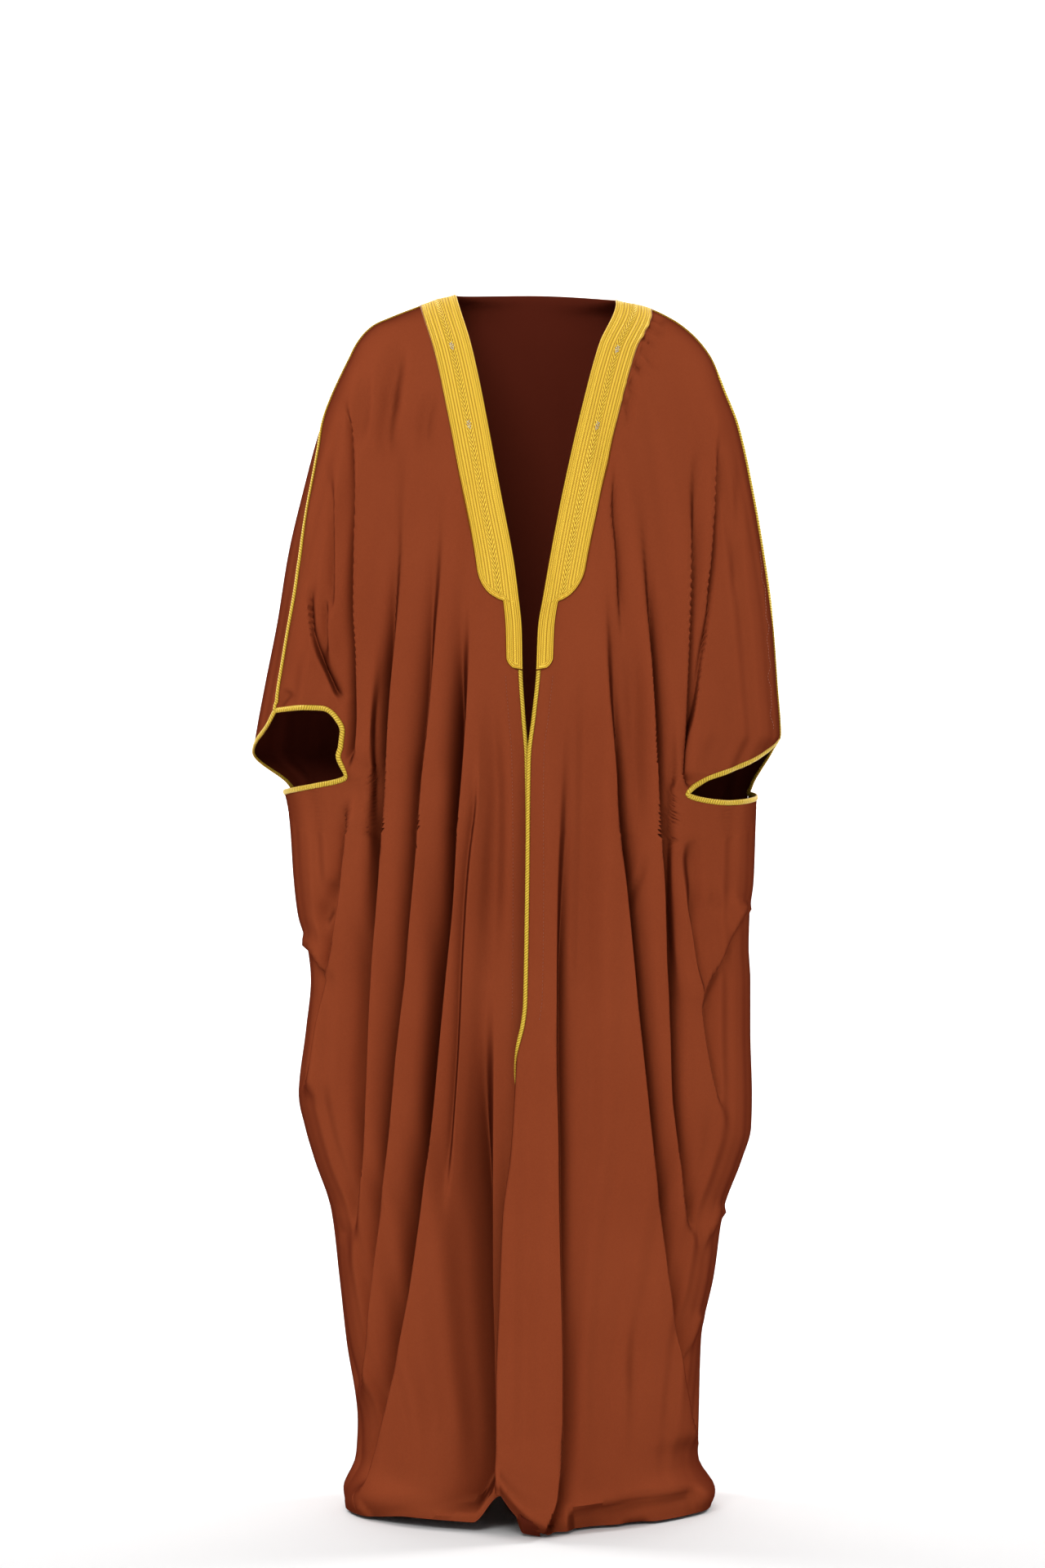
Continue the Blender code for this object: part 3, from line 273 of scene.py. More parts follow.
leftFolds = [
    Fold("shoulderEdge", 0.6, 2.4, 1.2, 0.95, 0.5, 0.04, [
        (20.1, -9.1), (19.8, -12.2), (19.7, -17.7), (19.8, -23.7), (20, -33.8), (19.8, -41),
        (19.5, -49.4), (19.2, -57.9), (19, -61.5),
    ]),
    Fold("outerRidge", 0.8, 0.9, 1.4, 0.7, 0.4, 0.3, [
        (22.6, -10.6), (23, -17.3), (22.9, -23.7), (22.6, -29.6), (22.2, -34.8), (21.6, -39.6),
        (20.7, -44.9),
    ]),
    Fold("sleeveRim", 0.9, 2.6, 1.0, -0.7, 0.4, 0.05, [
        (23.6, -30.8), (22.6, -38.2), (22, -41), (21.3, -45.6), (20.4, -51.7), (19.7, -54.4),
        (19.3, -56.8), (19.2, -59.9),
    ]),
    Fold("sleeveLine", -0.35, 0.5, 0, 0.7, 0.3, 0.3, [
        (25.9, -19.7), (25.8, -26.8), (25.6, -33.8), (25.2, -38.2),
    ]),
    Fold("pleatE", 0.9, 2.2, 2.0, 1.3, 0.3, 0.08, [
        (11.2, -15.6), (11.9, -19.5), (13, -25.4), (13.7, -31), (14.4, -38.2), (15.1, -45.3),
        (15.6, -53.6), (15.9, -60.1), (16.4, -68.5), (16.8, -75.9), (16.9, -81.3), (17.3, -88.2),
        (17.6, -98.1), (18.5, -105.7), (19.2, -112), (19.6, -114.5), (20, -116.9), (21, -119.6),
    ]),
    Fold("pleatERim", 0.5, 0.8, 0.8, -0.7, 0.3, 0.3, [
        (18, -42.9), (18, -52), (17.8, -63.1), (17.8, -71.3), (18.1, -79.7), (18.9, -87.1), (19.5, -90.4),
        (20.2, -94.4),
    ]),
    Fold("pleatF", 0.8, 1.2, 0.7, 0.8, 0.2, 0.2, [
        (19.2, -69.2), (19.3, -74.2), (20, -78.4), (20.3, -80.9), (21.1, -87.1), (21.7, -91.8),
        (22.8, -97.2), (23.9, -101.7), (24.7, -102.9), (25.7, -104.1),
    ]),
    Fold("pleatG", 1.2, 4.2, 2.0, 1.5, 0.3, 0.02, [
        (8.5, -26.2), (9, -29.3), (9.2, -35.9), (9.4, -42.9), (9.9, -50), (10.6, -56.7), (11, -64.3),
        (11.9, -71.9), (12.6, -79.2), (13.2, -86), (14, -93.7), (14.8, -101.7), (15.5, -108.2),
        (16.4, -116.3), (17.3, -123.2), (18.1, -128.6), (19.4, -135.6), (20.1, -139.2), (20.9, -142.3),
    ]),
    Fold("bandFold", 0.5, 0.8, 1.0, 0.6, 0.3, 0.4, [
        (10.8, -16.5), (10.1, -20.7), (10.1, -25.4), (10.6, -31.8), (10.9, -39.9), (11.3, -47),
    ]),
    Fold("softFall", -1.2, 1.2, 0, 1, 0.3, 0.35, [
        (12.6, -39.9), (13.1, -49), (13.3, -56.1), (13.7, -65.2), (14.1, -70.2),
    ]),
    Fold("smallVee", -0.5, 0.5, 0, 0.5, 0.35, 0.25, [
        (14.1, -68.2), (13.9, -71), (12.9, -73.5), (12.5, -75.9),
    ]),
    Fold("pleatH", 1, 3.6, 1.8, 1.8, 0.4, 0.01, [
        (5.3, -42.9), (4.7, -48.9), (4.1, -55), (3.7, -64.3), (3.4, -74.2), (3.3, -85.4), (3.3, -94.4),
        (3.5, -103.6), (3.6, -114.8), (3.8, -124.7), (3.9, -130.8), (3.8, -142.6), (3.5, -146),
        (3.1, -148.8), (2.5, -150.5), (1.6, -152.5),
    ]),
    Fold("midFall", -0.8, 1, 0, 2, 0.3, 0.3, [
        (6.5, -40.9), (6.9, -49), (6.8, -60.1), (6.4, -72.2), (6.1, -84.3), (5.9, -94.4),
    ]),
    Fold("pouchRim", 0.9, 2.5, 0.9, 0.7, 0.08, 0.15, [
        (27.5, -74.9), (26.1, -77), (25.3, -78.4), (24.1, -80.9), (23, -83.1), (22.1, -84.7),
        (21.1, -88.1),
    ]),
    Fold("pouchWell", -1.7, 0.7, 0, 1.3, 0.3, 0.3, [
        (19.9, -66.2), (20, -71.2), (20.3, -75.3), (20.8, -78.3),
    ]),
    Fold("bagPinch", -0.5, 0.5, 0, 0.5, 0.3, 0.3, [(22.3, -73.7), (23.1, -75), (23.8, -76.1)]),
    Fold("kneeRim", 0.6, 1.4, 0.6, 0.6, 0.08, 0.25, [
        (24.4, -112.8), (23.2, -114.5), (22.1, -116.3), (21.1, -117),
    ]),
    Fold("lowRim", 0.6, 1.2, 0.4, 0.5, 0.08, 0.2, [
        (21.6, -125.7), (20.5, -128.6), (19.7, -130.8), (18.9, -132.4),
    ]),
    Fold("lowerSoft", -0.6, 2.4, 0, 1.6, 0.3, 0.3, [(12.3, -120.7), (12.9, -128.8), (14.4, -136.9)]),
    Fold("puckerA", -0.7, 0.4, 0, 0.4, 0.15, 0.5, [(15.1, -2.4), (16, -2.7), (17.2, -3.2)]),
    Fold("puckerB", -0.7, 0.4, 0, 0.4, 0.15, 0.5, [(14.5, -3.5), (15.7, -3.9), (16.9, -4.6)]),
    Fold("puckerC", -0.7, 0.4, 0, 0.4, 0.15, 0.5, [(14, -4.6), (15, -5.5), (16, -6.4)]),
    Fold("puckerD", -0.7, 0.4, 0, 0.4, 0.15, 0.5, [(13.5, -6.2), (14.6, -7), (15.4, -8.2), (16, -9.6)]),
    Fold("puckerE", -0.7, 0.4, 0, 0.4, 0.15, 0.5, [(13.1, -7.8), (13.8, -8.8), (14.7, -10.2)]),
    Fold("puckerF", -0.7, 0.4, 0, 0.4, 0.15, 0.5, [(12.4, -10.2), (13, -11.4), (13.4, -13)]),
    Fold("puckerG", -0.7, 0.4, 0, 0.4, 0.15, 0.5, [(12, -12.2), (12.4, -13.6), (12.7, -15.7)]),
    Fold("hemTrough", -2.4, 0.7, 0, 3.0, 0.08, 0.12, [
        (4.3, -150.6), (8.8, -150.1), (13.8, -149.3), (19.4, -148.4), (21.6, -147.4),
    ]),
    Fold("hemLens", -0.9, 0.4, 0, 0.4, 0.4, 0.4, [
        (11.2, -152.4), (12.6, -151.9), (14.4, -151.7), (16.4, -152.2),
    ]),
]
frontFolds = {-1: rightFolds, 1: leftFolds}

# Soft folds of the back, in the robe's own across and height
backFolds = [
    Fold("yokeA", 1.5, 2.6, 0, 3.0, 0.45, 0.02, [
        (-15, -14), (-16.5, -45), (-17.6, -80), (-17, -115), (-16, -152),
    ]),
    Fold("yokeB", 1.4, 3.2, 0, 2.2, 0.50, 0.02, [(-9.5, -20), (-10.6, -55), (-11.6, -90), (-10.4, -152)]),
    Fold("yokeC", 1.3, 2.0, 0, 2.6, 0.55, 0.02, [(-4.2, -30), (-5.2, -60), (-5.9, -95), (-5, -152)]),
    Fold("yokeD", 1.5, 2.6, 0, 2.6, 0.45, 0.02, [(0.5, -16), (0.6, -55), (0.2, -95), (1.0, -152)]),
    Fold("yokeE", 1.4, 1.8, 0, 2.8, 0.55, 0.02, [(4.2, -34), (5.2, -65), (6.0, -100), (6.4, -152)]),
    Fold("yokeF", 1.6, 3.0, 0, 2.2, 0.45, 0.02, [(9.4, -15), (10.8, -50), (11.6, -90), (12, -152)]),
    Fold("yokeG", 1.5, 2.4, 0, 2.6, 0.50, 0.02, [(14.8, -22), (16.6, -55), (17.6, -90), (17, -152)]),
    Fold("fallA", -1.2, 0.9, 0, 1.6, 0.5, 0.05, [
        (-12.6, -30), (-13.8, -65), (-14.6, -100), (-13.6, -152),
    ]),
    Fold("fallB", -1.0, 1.6, 0, 1.5, 0.5, 0.05, [(7.4, -40), (8.6, -75), (9.2, -110), (9.6, -152)]),
    Fold("fallC", -1.0, 0.9, 0, 1.4, 0.5, 0.05, [(-2.0, -45), (-2.6, -80), (-2.8, -115), (-2.4, -152)]),
    Fold("fallD", -1.1, 0.9, 0, 1.8, 0.5, 0.05, [(13.4, -35), (14.6, -70), (15.0, -105), (14.6, -152)]),
    Fold("armRight", -2.6, 1.0, 0, 2.4, 0.30, 0.25, [
        (-20.8, -16), (-22, -32), (-22.6, -48), (-20.8, -76),
    ]),
    Fold("armLeft", -2.6, 1.0, 0, 2.4, 0.30, 0.25, [(21, -18), (21.8, -34), (21.8, -48), (19.6, -78)]),
    Fold("swagRight", 1.2, 2.6, 0, 1.6, 0.25, 0.20, [(-19.5, -66), (-21.6, -88), (-25.8, -120)]),
    Fold("swagLeft", 1.2, 2.6, 0, 1.6, 0.25, 0.20, [(18.6, -64), (20.6, -86), (25.0, -122)]),
]

drape = {
    "sideFade": 9.0,        # degrees from the side seam over which folds fade
    "crestWidth": 0.0046,   # how sharply a fold's crest turns over
    "crestLean": 0.13,      # how far a crest tips over its valley, as a share of its height
    "longestLean": 0.0050,
    "valleyDepth": 2.8,     # of every fold's drop
    "spreadAcross": 0.4,    # how much of a fold's push goes sideways where the cloth turns to the side
    "ripple": 0.0020,       # of the small soft folds between the others
    "leftOver": [0.030, 0.019, 0.007, 0.0],     # how far the left front stands over the right one
    "rightUnder": [0.010, 0.005, 0.002, 0.0],
    "turnWidth": 0.022,     # of the left front's edge, folded back under it
    "turnFrom": -0.86,
    "turnRadius": 0.0055,
    "thickness": 0.0007,
    "eyeDistance": 5.0,     # where the folds were looked at from
    "eyeAcross": -0.008,
    "eyeHeight": -0.601,
}

hemShape = {
    "rollHeight": -1.470,   # of the soft roll just above the hem
    "rollHalf": 0.017,
    "rollOut": 0.010,
    "tuckFrom": -1.478,     # below this the cloth turns in again
    "tuckIn": 0.006,
    "liftFrom": -1.37,      # below this the fronts lift towards the opening
    "liftSpan": 0.12,
    "leftLift": 0.046,
    "rightLift": 0.032,
    "outerLift": 0.008,
    "turnFrom": -1.36,      # below this the left front's folded edge gets wider
    "turnWider": 0.044,
}


def smooth(knots, values, at):
    # a smooth curve through the rows of a table that never swings past them
    order = np.argsort(knots)
    x = np.array(knots, float)[order]
    y = np.array(values, float)[order]
    at = np.clip(np.asarray(at, float), x[0], x[-1])
    step = np.diff(x)
    slope = np.diff(y) / step
    lean = np.zeros(len(x))
    same = slope[1:] * slope[:-1] > 0
    near = 2 * step[1:] + step[:-1]
    far = step[1:] + 2 * step[:-1]
    first = np.where(same, slope[:-1], 1.0)
    second = np.where(same, slope[1:], 1.0)
    lean[1:-1] = np.where(same, (near + far) / (near / first + far / second), 0.0)
    lean[0], lean[-1] = slope[0], slope[-1]
    k = np.clip(np.searchsorted(x, at, side="right") - 1, 0, len(x) - 2)
    h = step[k]
    f = (at - x[k]) / h
    keep = (1 + 2 * f) * (1 - f) ** 2 * y[k] + f * f * (3 - 2 * f) * y[k + 1]
    bend = f * (1 - f) ** 2 * h * lean[k] - f * f * (1 - f) * h * lean[k + 1]
    return keep + bend


def column(rows, field):
    return [getattr(row, field) for row in rows]


def ease(value):
    value = np.clip(value, 0.0, 1.0)
    return value * value * (3 - 2 * value)


def unit(vectors):
    return vectors / np.maximum(np.linalg.norm(vectors, axis=-1, keepdims=True), 1e-12)


def halfWidth(side, z):
    return smooth(column(sections, "z"), column(sections, sideWords[side]), z)


def depths(z):
    level = column(sections, "z")
    return smooth(level, column(sections, "front"), z), smooth(level, column(sections, "back"), z)


def bentLine(points, count=26):
    # a fold's few points as one smooth line, in metres
    knots = np.array(points, float) / 100
    run = np.concatenate([[0], np.cumsum(np.linalg.norm(np.diff(knots, axis=0), axis=1))])
    at = np.linspace(0, run[-1], count)
    return np.stack([smooth(run, knots[:, 0], at), smooth(run, knots[:, 1], at)], axis=1)


foldLines = {}


def besideLine(line, x, z, away):
    # distance from a fold's line, above 0 on the side of its valley, and the share of the line passed
    best = np.full(x.shape, 9.0)
    aside = np.zeros(x.shape)
    along = np.zeros(x.shape)
    count = len(line) - 1
    for k in range(count):
        step = line[k + 1] - line[k]
        dx, dz = x - line[k, 0], z - line[k, 1]
        t = np.clip((dx * step[0] + dz * step[1]) / (step @ step), 0, 1)
        distance = np.hypot(dx - t * step[0], dz - t * step[1])
        turn = (dz * step[0] - dx * step[1]) * (-1.0 if step[1] > 0 else 1.0) * away
        closer = distance < best
        best = np.where(closer, distance, best)
        aside = np.where(closer, np.where(turn < 0, -distance, distance), aside)
        along = np.where(closer, (k + t) / count, along)
    return aside, along


def foldShift(folds, across, height):
    # how far the folds push each point out of the cloth, and how far they tip it sideways
    out = np.zeros(np.shape(across))
    tip = np.zeros(np.shape(across))
    for fold in folds:
        if fold.name not in foldLines:
            foldLines[fold.name] = bentLine(fold.line)
        line = foldLines[fold.name]
        near, gap = fold.near / 100, abs(fold.gap) / 100
        reach = max(2.3 * near, (4.6 if fold.drop else 2.3) * gap)
        low, high = line.min(axis=0) - reach, line.max(axis=0) + reach
        inside = (across > low[0]) & (across < high[0]) & (height > low[1]) & (height < high[1])
        if not inside.any():
            continue
        away = math.copysign(1.0, line[:, 0].mean() * fold.gap)
        aside, along = besideLine(line, across[inside], height[inside], away)
        fade = ease(along / fold.start) * ease((1 - along) / fold.end)
        depth = drape["valleyDepth"] * fold.drop / 100
        lean = min(drape["crestLean"] * (depth + fold.rise / 100), drape["longestLean"]) if depth else 0.0
        aside = aside + lean * fade
        crest = drape["crestWidth"] * (3.2 - 2.2 * fade)
        slope = np.where(aside > 0, crest if depth else gap, near)
        shape = fold.rise / 100 * np.exp(-(aside / slope) ** 2)
        if depth:
            into = np.maximum(aside, 0.0)
            wide = gap * (0.65 + 0.6 * along)
            fall = 1 - np.exp(-(into / crest) ** 2)
            fill = np.exp(-into / wide - (into / wide / 2.2) ** 2)
            shape = shape - depth * fall * fill
            slope = np.where(aside > 0, crest * 1.2, near * 0.5)
            tip[inside] += away * lean * fade * np.exp(-(aside / slope) ** 2)
        out[inside] += shape * fade
    return out, tip


def ripples(side, angle, z):
    # small soft folds, which fade towards the side seams, the back's middle, the shoulder and the hem
    turn = np.radians(angle)
    wave = np.sin(turn * 28 + 1.6 * np.sin(z * 2.3 + side))
    wave = wave + np.sin(turn * 47 + 2.0 * np.sin(z * 3.1 + 1)) * 0.42
    fade = ease(np.abs(angle - 90) / 35) * ease((180 - np.abs(angle)) / 14)
    return wave * drape["ripple"] * fade * ease((-0.05 - z) / 0.25) * ease((z + 1.48) / 0.15)


def hemRoll(side, x, y, z, ahead):
    # the uneven roll above the hem, which dies out beside the right front's edge
    uneven = 1 + 0.35 * np.sin(x * 31 + 0.8) + 0.25 * np.sin(x * 67 + y * 20)
    bulge = np.exp(-((z - hemShape["rollHeight"]) / hemShape["rollHalf"]) ** 2)
    tuck = ease((hemShape["tuckFrom"] - z) / 0.014) * hemShape["tuckIn"]
    roll = bulge * hemShape["rollOut"] * uneven - tuck
    hollow = np.exp(-((x + 0.050) / 0.045) ** 2) * ahead * (side < 0)
    return roll * (1 - hollow)


def overlap(side, x, seenX, z):
    # how far the left front stands over the right one, and how far each lifts near the opening at the hem
    low = ease((hemShape["liftFrom"] - z) / hemShape["liftSpan"])
    if side > 0:
        out = ease((0.085 - x) / 0.06) * smooth([-1.5, -1.1, -0.62, -0.50], drape["leftOver"], z)
        return out, low * hemShape["leftLift"] * np.clip((0.024 - seenX) / 0.058, 0, 1) ** 2.0
    out = -ease((x + 0.045) / 0.03) * smooth([-1.5, -0.9, -0.62, -0.50], drape["rightUnder"], z)
    lift = hemShape["rightLift"] * ease((seenX + 0.070) / 0.034)
    return out, low * (lift + hemShape["outerLift"] * ease((seenX + 0.21) / 0.06))


def cloth(side, angle, z, folded=True):
    # a point of the cloth's outer face, from its angle round the body (0 before, 180 behind) and height
    angle, z = np.broadcast_arrays(np.asarray(angle, float), np.asarray(z, float))
    turn = np.radians(angle)
    front, back = depths(z)
    wide = halfWidth(side, z)
    ahead = np.abs(angle) < 90
    deep = np.where(ahead, front, back)
    x = side * wide * np.sin(turn)
    y = -deep * np.cos(turn)
    level = z + 0 * x
    if not folded:
        return np.stack([x, y, level], axis=-1)
    outX = side * np.sin(turn) / wide
    outY = -np.cos(turn) / deep
    size = np.hypot(outX, outY)
    scale = 1 + y / drape["eyeDistance"]
    seenX = (x - drape["eyeAcross"]) / scale + drape["eyeAcross"]
    seenZ = (z - drape["eyeHeight"]) / scale + drape["eyeHeight"]
    out, tip = np.zeros(x.shape), np.zeros(x.shape)
    if ahead.any():
        out[ahead], tip[ahead] = foldShift(frontFolds[side], seenX[ahead], seenZ[ahead])
    if not ahead.all():
        out[~ahead], tip[~ahead] = foldShift(backFolds, x[~ahead], level[~ahead])
    fade = ease(np.abs(angle - 90) / drape["sideFade"])
    room = 0.82 * np.abs(y) + 0.0005
    out = np.where(out < 0, -room * np.tanh(-out / room), out)
    out, tip = out * fade, tip * fade
    over, lift = overlap(side, x, seenX, z)
    out = out + ripples(side, angle, z) + hemRoll(side, x, y, z, ahead) + over * ahead
    x = x + out * drape["spreadAcross"] * outX / size + tip
    y = y + out * outY / size
    return np.stack([x, y, level + lift * ahead], axis=-1)


def outward(side, angle, z):
    aside, down = 0.5, 0.0020
    around = cloth(side, angle + aside, z) - cloth(side, angle - aside, z)
    up = cloth(side, angle, z + down) - cloth(side, angle, z - down)
    return unit(np.cross(around, up) * side)


def runs(points):
    return np.concatenate([[0], np.cumsum(np.linalg.norm(np.diff(points, axis=0), axis=1))])


def edgeCurve(side, rows):
    # angle and height of a front's own edge at each row
    top = cut["neckTop"][side]
    z = np.concatenate([top - 0.03 * np.linspace(0, 1, 40) ** 2, np.linspace(top - 0.031, cut["hem"], 500)])
    x = smooth(column(frontEdges, "z"), column(frontEdges, sideWords[side]), z)
    angle = np.degrees(np.arcsin(np.clip(x / halfWidth(side, z), -1, 1)))
    run = runs(cloth(side, angle, z, False))
    corner = np.interp(-cut["cuffCornerEdge"], -z, run)
    share = cut["cuffCorner"]
    along = np.where(
        rows < share,
        rows / share * corner,
        corner + (rows - share) / (1 - share) * (run[-1] - corner),
    )
    return np.interp(along, run, angle), np.interp(along, run, z)


def edgeRows(side, levels):
    # the rows at which a front's own edge has these heights
    rows = np.linspace(0, 1, 2001)
    return np.interp(-np.asarray(levels, float), -edgeCurve(side, rows)[1], rows)


def sideCurve(side, rows, half):
    # angle and height of a panel's outer edge: the hand opening, then the side seam
    cuff = cuffs[side]
    corner = cuff[-1]
    rows = np.asarray(rows, float)
    cuffAngle = smooth(column(cuff, "row"), column(cuff, half + "Angle"), rows)
    cuffZ = smooth(column(cuff, "row"), column(cuff, half + "Z"), rows)
    stops = [corner.row] + column(sideStops, "row")
    seamAngle = smooth(stops, [corner.backAngle] + column(sideStops, "angle"), rows)
    seamZ = smooth(stops, [corner.backZ] + column(sideStops, "z"), rows)
    below = rows > corner.row
    return np.where(below, seamAngle, cuffAngle), np.where(below, seamZ, cuffZ)


def seamCurve(side):
    # angle and height along the shoulder seam from the neck to the wrist
    top = cut["neckTop"][side]
    end = cuffs[side][0].frontZ
    z = np.concatenate([top - 0.05 * np.linspace(0, 1, 60) ** 2, np.linspace(top - 0.051, end, 240)])
    return smooth(column(seamStops, "z"), column(seamStops, sideWords[side]), z), z


def spread(side, angle, z):
    # an angle as a length round the body
    return halfWidth(side, z) * angle / 90.0


def frontLines(side, rows):
    # for each row of a front: closely spaced angles, heights and lengths from the edge outwards
    across = np.linspace(0, 1, 261) ** 1.25
    seamAngle, seamZ = seamCurve(side)
    seamRun = runs(cloth(side, seamAngle, seamZ, False))
    seamRun = seamRun / seamRun[-1]
    top = np.stack([
        np.interp(across, seamRun, spread(side, seamAngle, seamZ)),
        np.interp(across, seamRun, seamZ),
    ])
    edgeAngle, edgeZ = edgeCurve(side, rows)
    sideAngle, sideZ = sideCurve(side, rows, "front")
    edge = np.stack([spread(side, edgeAngle, edgeZ), edgeZ])
    outer = np.stack([spread(side, sideAngle, sideZ), sideZ])
    lastAngle, lastZ = edgeCurve(side, np.array([1.0]))
    hemStart = float(spread(side, lastAngle, lastZ)[0])
    hemEnd = float(spread(side, 90.0, cut["hem"]))
    hem = np.stack([hemStart + (hemEnd - hemStart) * across, cut["hem"] + 0 * across])
    lines = []
    for k, row in enumerate(rows):
        mixed = (1 - row) * top + row * hem
        mixed = mixed + (1 - across) * edge[:, k:k + 1] + across * outer[:, k:k + 1]
        ends = (1 - row) * ((1 - across) * top[:, :1] + across * top[:, -1:])
        ends = ends + row * ((1 - across) * hem[:, :1] + across * hem[:, -1:])
        length, z = mixed - ends
        angle = 90.0 * length / halfWidth(side, z)
        if row == 0.0:
            angle = np.interp(across, seamRun, seamAngle)
            z = np.interp(across, seamRun, seamZ)
        lines.append((angle, z, runs(cloth(side, angle, z, False))))
    return lines


def untangled(side, rows, rounds):
    # a front's lines on its flat cloth, evened out over a set number of rounds to keep them from crossing
    # beside the hand opening
    lines = frontLines(side, rows[::2])
    angle = np.array([line[0] for line in lines])[:, ::2]
    z = np.array([line[1] for line in lines])[:, ::2]
    grid = np.stack([spread(side, angle, z), z])
    for turn in range(rounds):
        down = grid[:, 2:, 1:-1] - grid[:, :-2, 1:-1]
        along = grid[:, 1:-1, 2:] - grid[:, 1:-1, :-2]
        a = np.sum(down * down, axis=0)
        b = np.sum(down * along, axis=0)
        c = np.sum(along * along, axis=0)
        skew = grid[:, 2:, 2:] - grid[:, 2:, :-2] - grid[:, :-2, 2:] + grid[:, :-2, :-2]
        total = a * (grid[:, 1:-1, 2:] + grid[:, 1:-1, :-2]) + c * (grid[:, 2:, 1:-1] + grid[:, :-2, 1:-1])
        grid[:, 1:-1, 1:-1] = (total - b * skew / 2) / (2 * (a + c) + 1e-15)
    full = np.zeros((2, len(rows), 2 * grid.shape[2] - 1))
    full[:, ::2, ::2] = grid
    full[:, 1::2, ::2] = (grid[:, 1:] + grid[:, :-1]) / 2
    full[:, :, 1::2] = (full[:, :, 2::2] + full[:, :, :-2:2]) / 2
    angle = 90.0 * full[0] / halfWidth(side, full[1])
    return [(a, z, runs(cloth(side, a, z, False))) for a, z in zip(angle, full[1])]


def spacedRows(count):
    # rows closer together at the shoulder and at the hem
    t = np.linspace(0, 1, count - 1)
    weight = 1 - 0.70 * np.exp(-t / 0.05) - 0.55 * np.exp(-(1 - t) / 0.04)
    return np.concatenate([[0], np.cumsum(weight) / weight.sum()])


def gridNormals(points, outside):
    facing = unit(np.cross(np.gradient(points, axis=1), np.gradient(points, axis=0)))
    return facing * (1.0 if np.sum(facing * outside) > 0 else -1.0)


def roundBody(points):
    # roughly outwards, to tell a grid's outer side
    return unit(points * np.array([1.0, 1.0, 0.0]))


def addObject(name, data):
    found = bpy.data.objects.new(name, data)
    bpy.context.collection.objects.link(found)
    return found


def addMesh(name, points, faces, materials, coords=None):
    # a smooth mesh as an object of its own, with a thread coordinate for each corner of each face
    mesh = bpy.data.meshes.new(name)
    mesh.from_pydata(np.asarray(points).tolist(), [], faces)
    for material in materials:
        mesh.materials.append(material)
    if coords is not None:
        layer = mesh.uv_layers.new(name="thread")
        layer.data.foreach_set("uv", np.asarray(coords, np.float32).reshape(-1))
    mesh.shade_smooth()
    return addObject(name, mesh)


def addShell(name, outer, inner, materials, uv=None, split=70):
    # one closed shell between two grids of points
    rows, columns = outer.shape[:2]
    count = rows * columns
    index = np.arange(count).reshape(rows, columns)
    corners = [index[:-1, :-1], index[:-1, 1:], index[1:, 1:], index[1:, :-1]]
    top = np.stack(corners, axis=-1).reshape(-1, 4)
    rim = np.concatenate([index[0], index[1:, -1], index[-1, -2::-1], index[-2::-1, 0]])
    walls = np.stack([rim[1:], rim[:-1], rim[:-1] + count, rim[1:] + count], axis=-1)
    faces = np.concatenate([top, top[:, ::-1] + count, walls])
    points = np.concatenate([outer.reshape(-1, 3), inner.reshape(-1, 3)])
    first = points[top[:, 0]]
    toward = np.cross(points[top[:, 1]] - first, points[top[:, 3]] - first)
    if np.sum(toward * (first - points[top[:, 0] + count])) < 0:
        faces = faces[:, ::-1]
    coords = None if uv is None else np.concatenate([uv.reshape(-1, 2)] * 2)[faces.reshape(-1)]
    piece = addMesh(name, points, faces.tolist(), materials, coords)
    which = np.zeros(len(faces), np.int32)
    which[len(top):2 * len(top)] = len(materials) - 1
    piece.data.polygons.foreach_set("material_index", which)
    piece.data.set_sharp_from_angle(angle=math.radians(split))
    return piece


def ringFaces(rings, sides, closed=False, base=0):
    # faces round a run of rings of points, and a cap at each end of an open run
    faces = []
    for k in range(rings if closed else rings - 1):
        a, b = base + k * sides, base + (k + 1) % rings * sides
        for s in range(sides):
            t = (s + 1) % sides
            faces.append((a + s, a + t, b + t, b + s))
    if not closed:
        faces.append(tuple(range(base, base + sides))[::-1])
        faces.append(tuple(range(base + (rings - 1) * sides, base + rings * sides)))
    return faces


def addTube(name, centres, across, out, halfAcross, halfOut, material, closed=False, sides=12):
    # a flattened cord along a path
    turn = np.linspace(0, 2 * math.pi, sides, endpoint=False)
    rings = (
        centres[:, None] + across[:, None] * (np.cos(turn) * halfAcross)[None, :, None]
        + out[:, None] * (np.sin(turn) * halfOut)[None, :, None]
    )
    points = rings.reshape(-1, 3)
    faces = ringFaces(len(centres), sides, closed)
    stops = runs(np.concatenate([centres, centres[:1]]) if closed else centres)
    coords = []
    for near, far in zip(stops, stops[1:]):
        for s in range(sides):
            u, v = s / sides, (s + 1) / sides
            coords.append([(u, near), (v, near), (v, far), (u, far)])
    coords = np.array(coords)
    first = points[list(faces[0])]
    normal = np.cross(first[1] - first[0], first[3] - first[0])
    if normal @ (first[0] - centres[0]) < 0:
        faces = [face[::-1] for face in faces]
        coords = coords[:, ::-1]
    caps = np.tile((0.5, 0.0), (0 if closed else 2 * sides, 1))
    return addMesh(name, points, faces, [material], np.concatenate([coords.reshape(-1, 2), caps]))


def addStitches(name, starts, ends, out, material, thick=0.00035, wide=0.0005, sunk=-0.0003):
    # many short threads lying on the cloth and sunk a little into it, as one joined mesh
    points, faces = [], []
    for a, b, n in zip(starts, ends, out):
        across = unit(np.cross(b - a, n))
        faces.extend(ringFaces(4, 4, base=len(points)))
        for t, w, h in ((0, 0.25, 0.3), (0.25, 1, 1), (0.75, 1, 1), (1, 0.25, 0.3)):
            for place, height in ((0.5, sunk), (0.25, thick * h), (-0.25, thick * h), (-0.5, sunk)):
                points.append(a + (b - a) * t + across * wide * place * w + n * height)
    return addMesh(name, points, faces, [material])


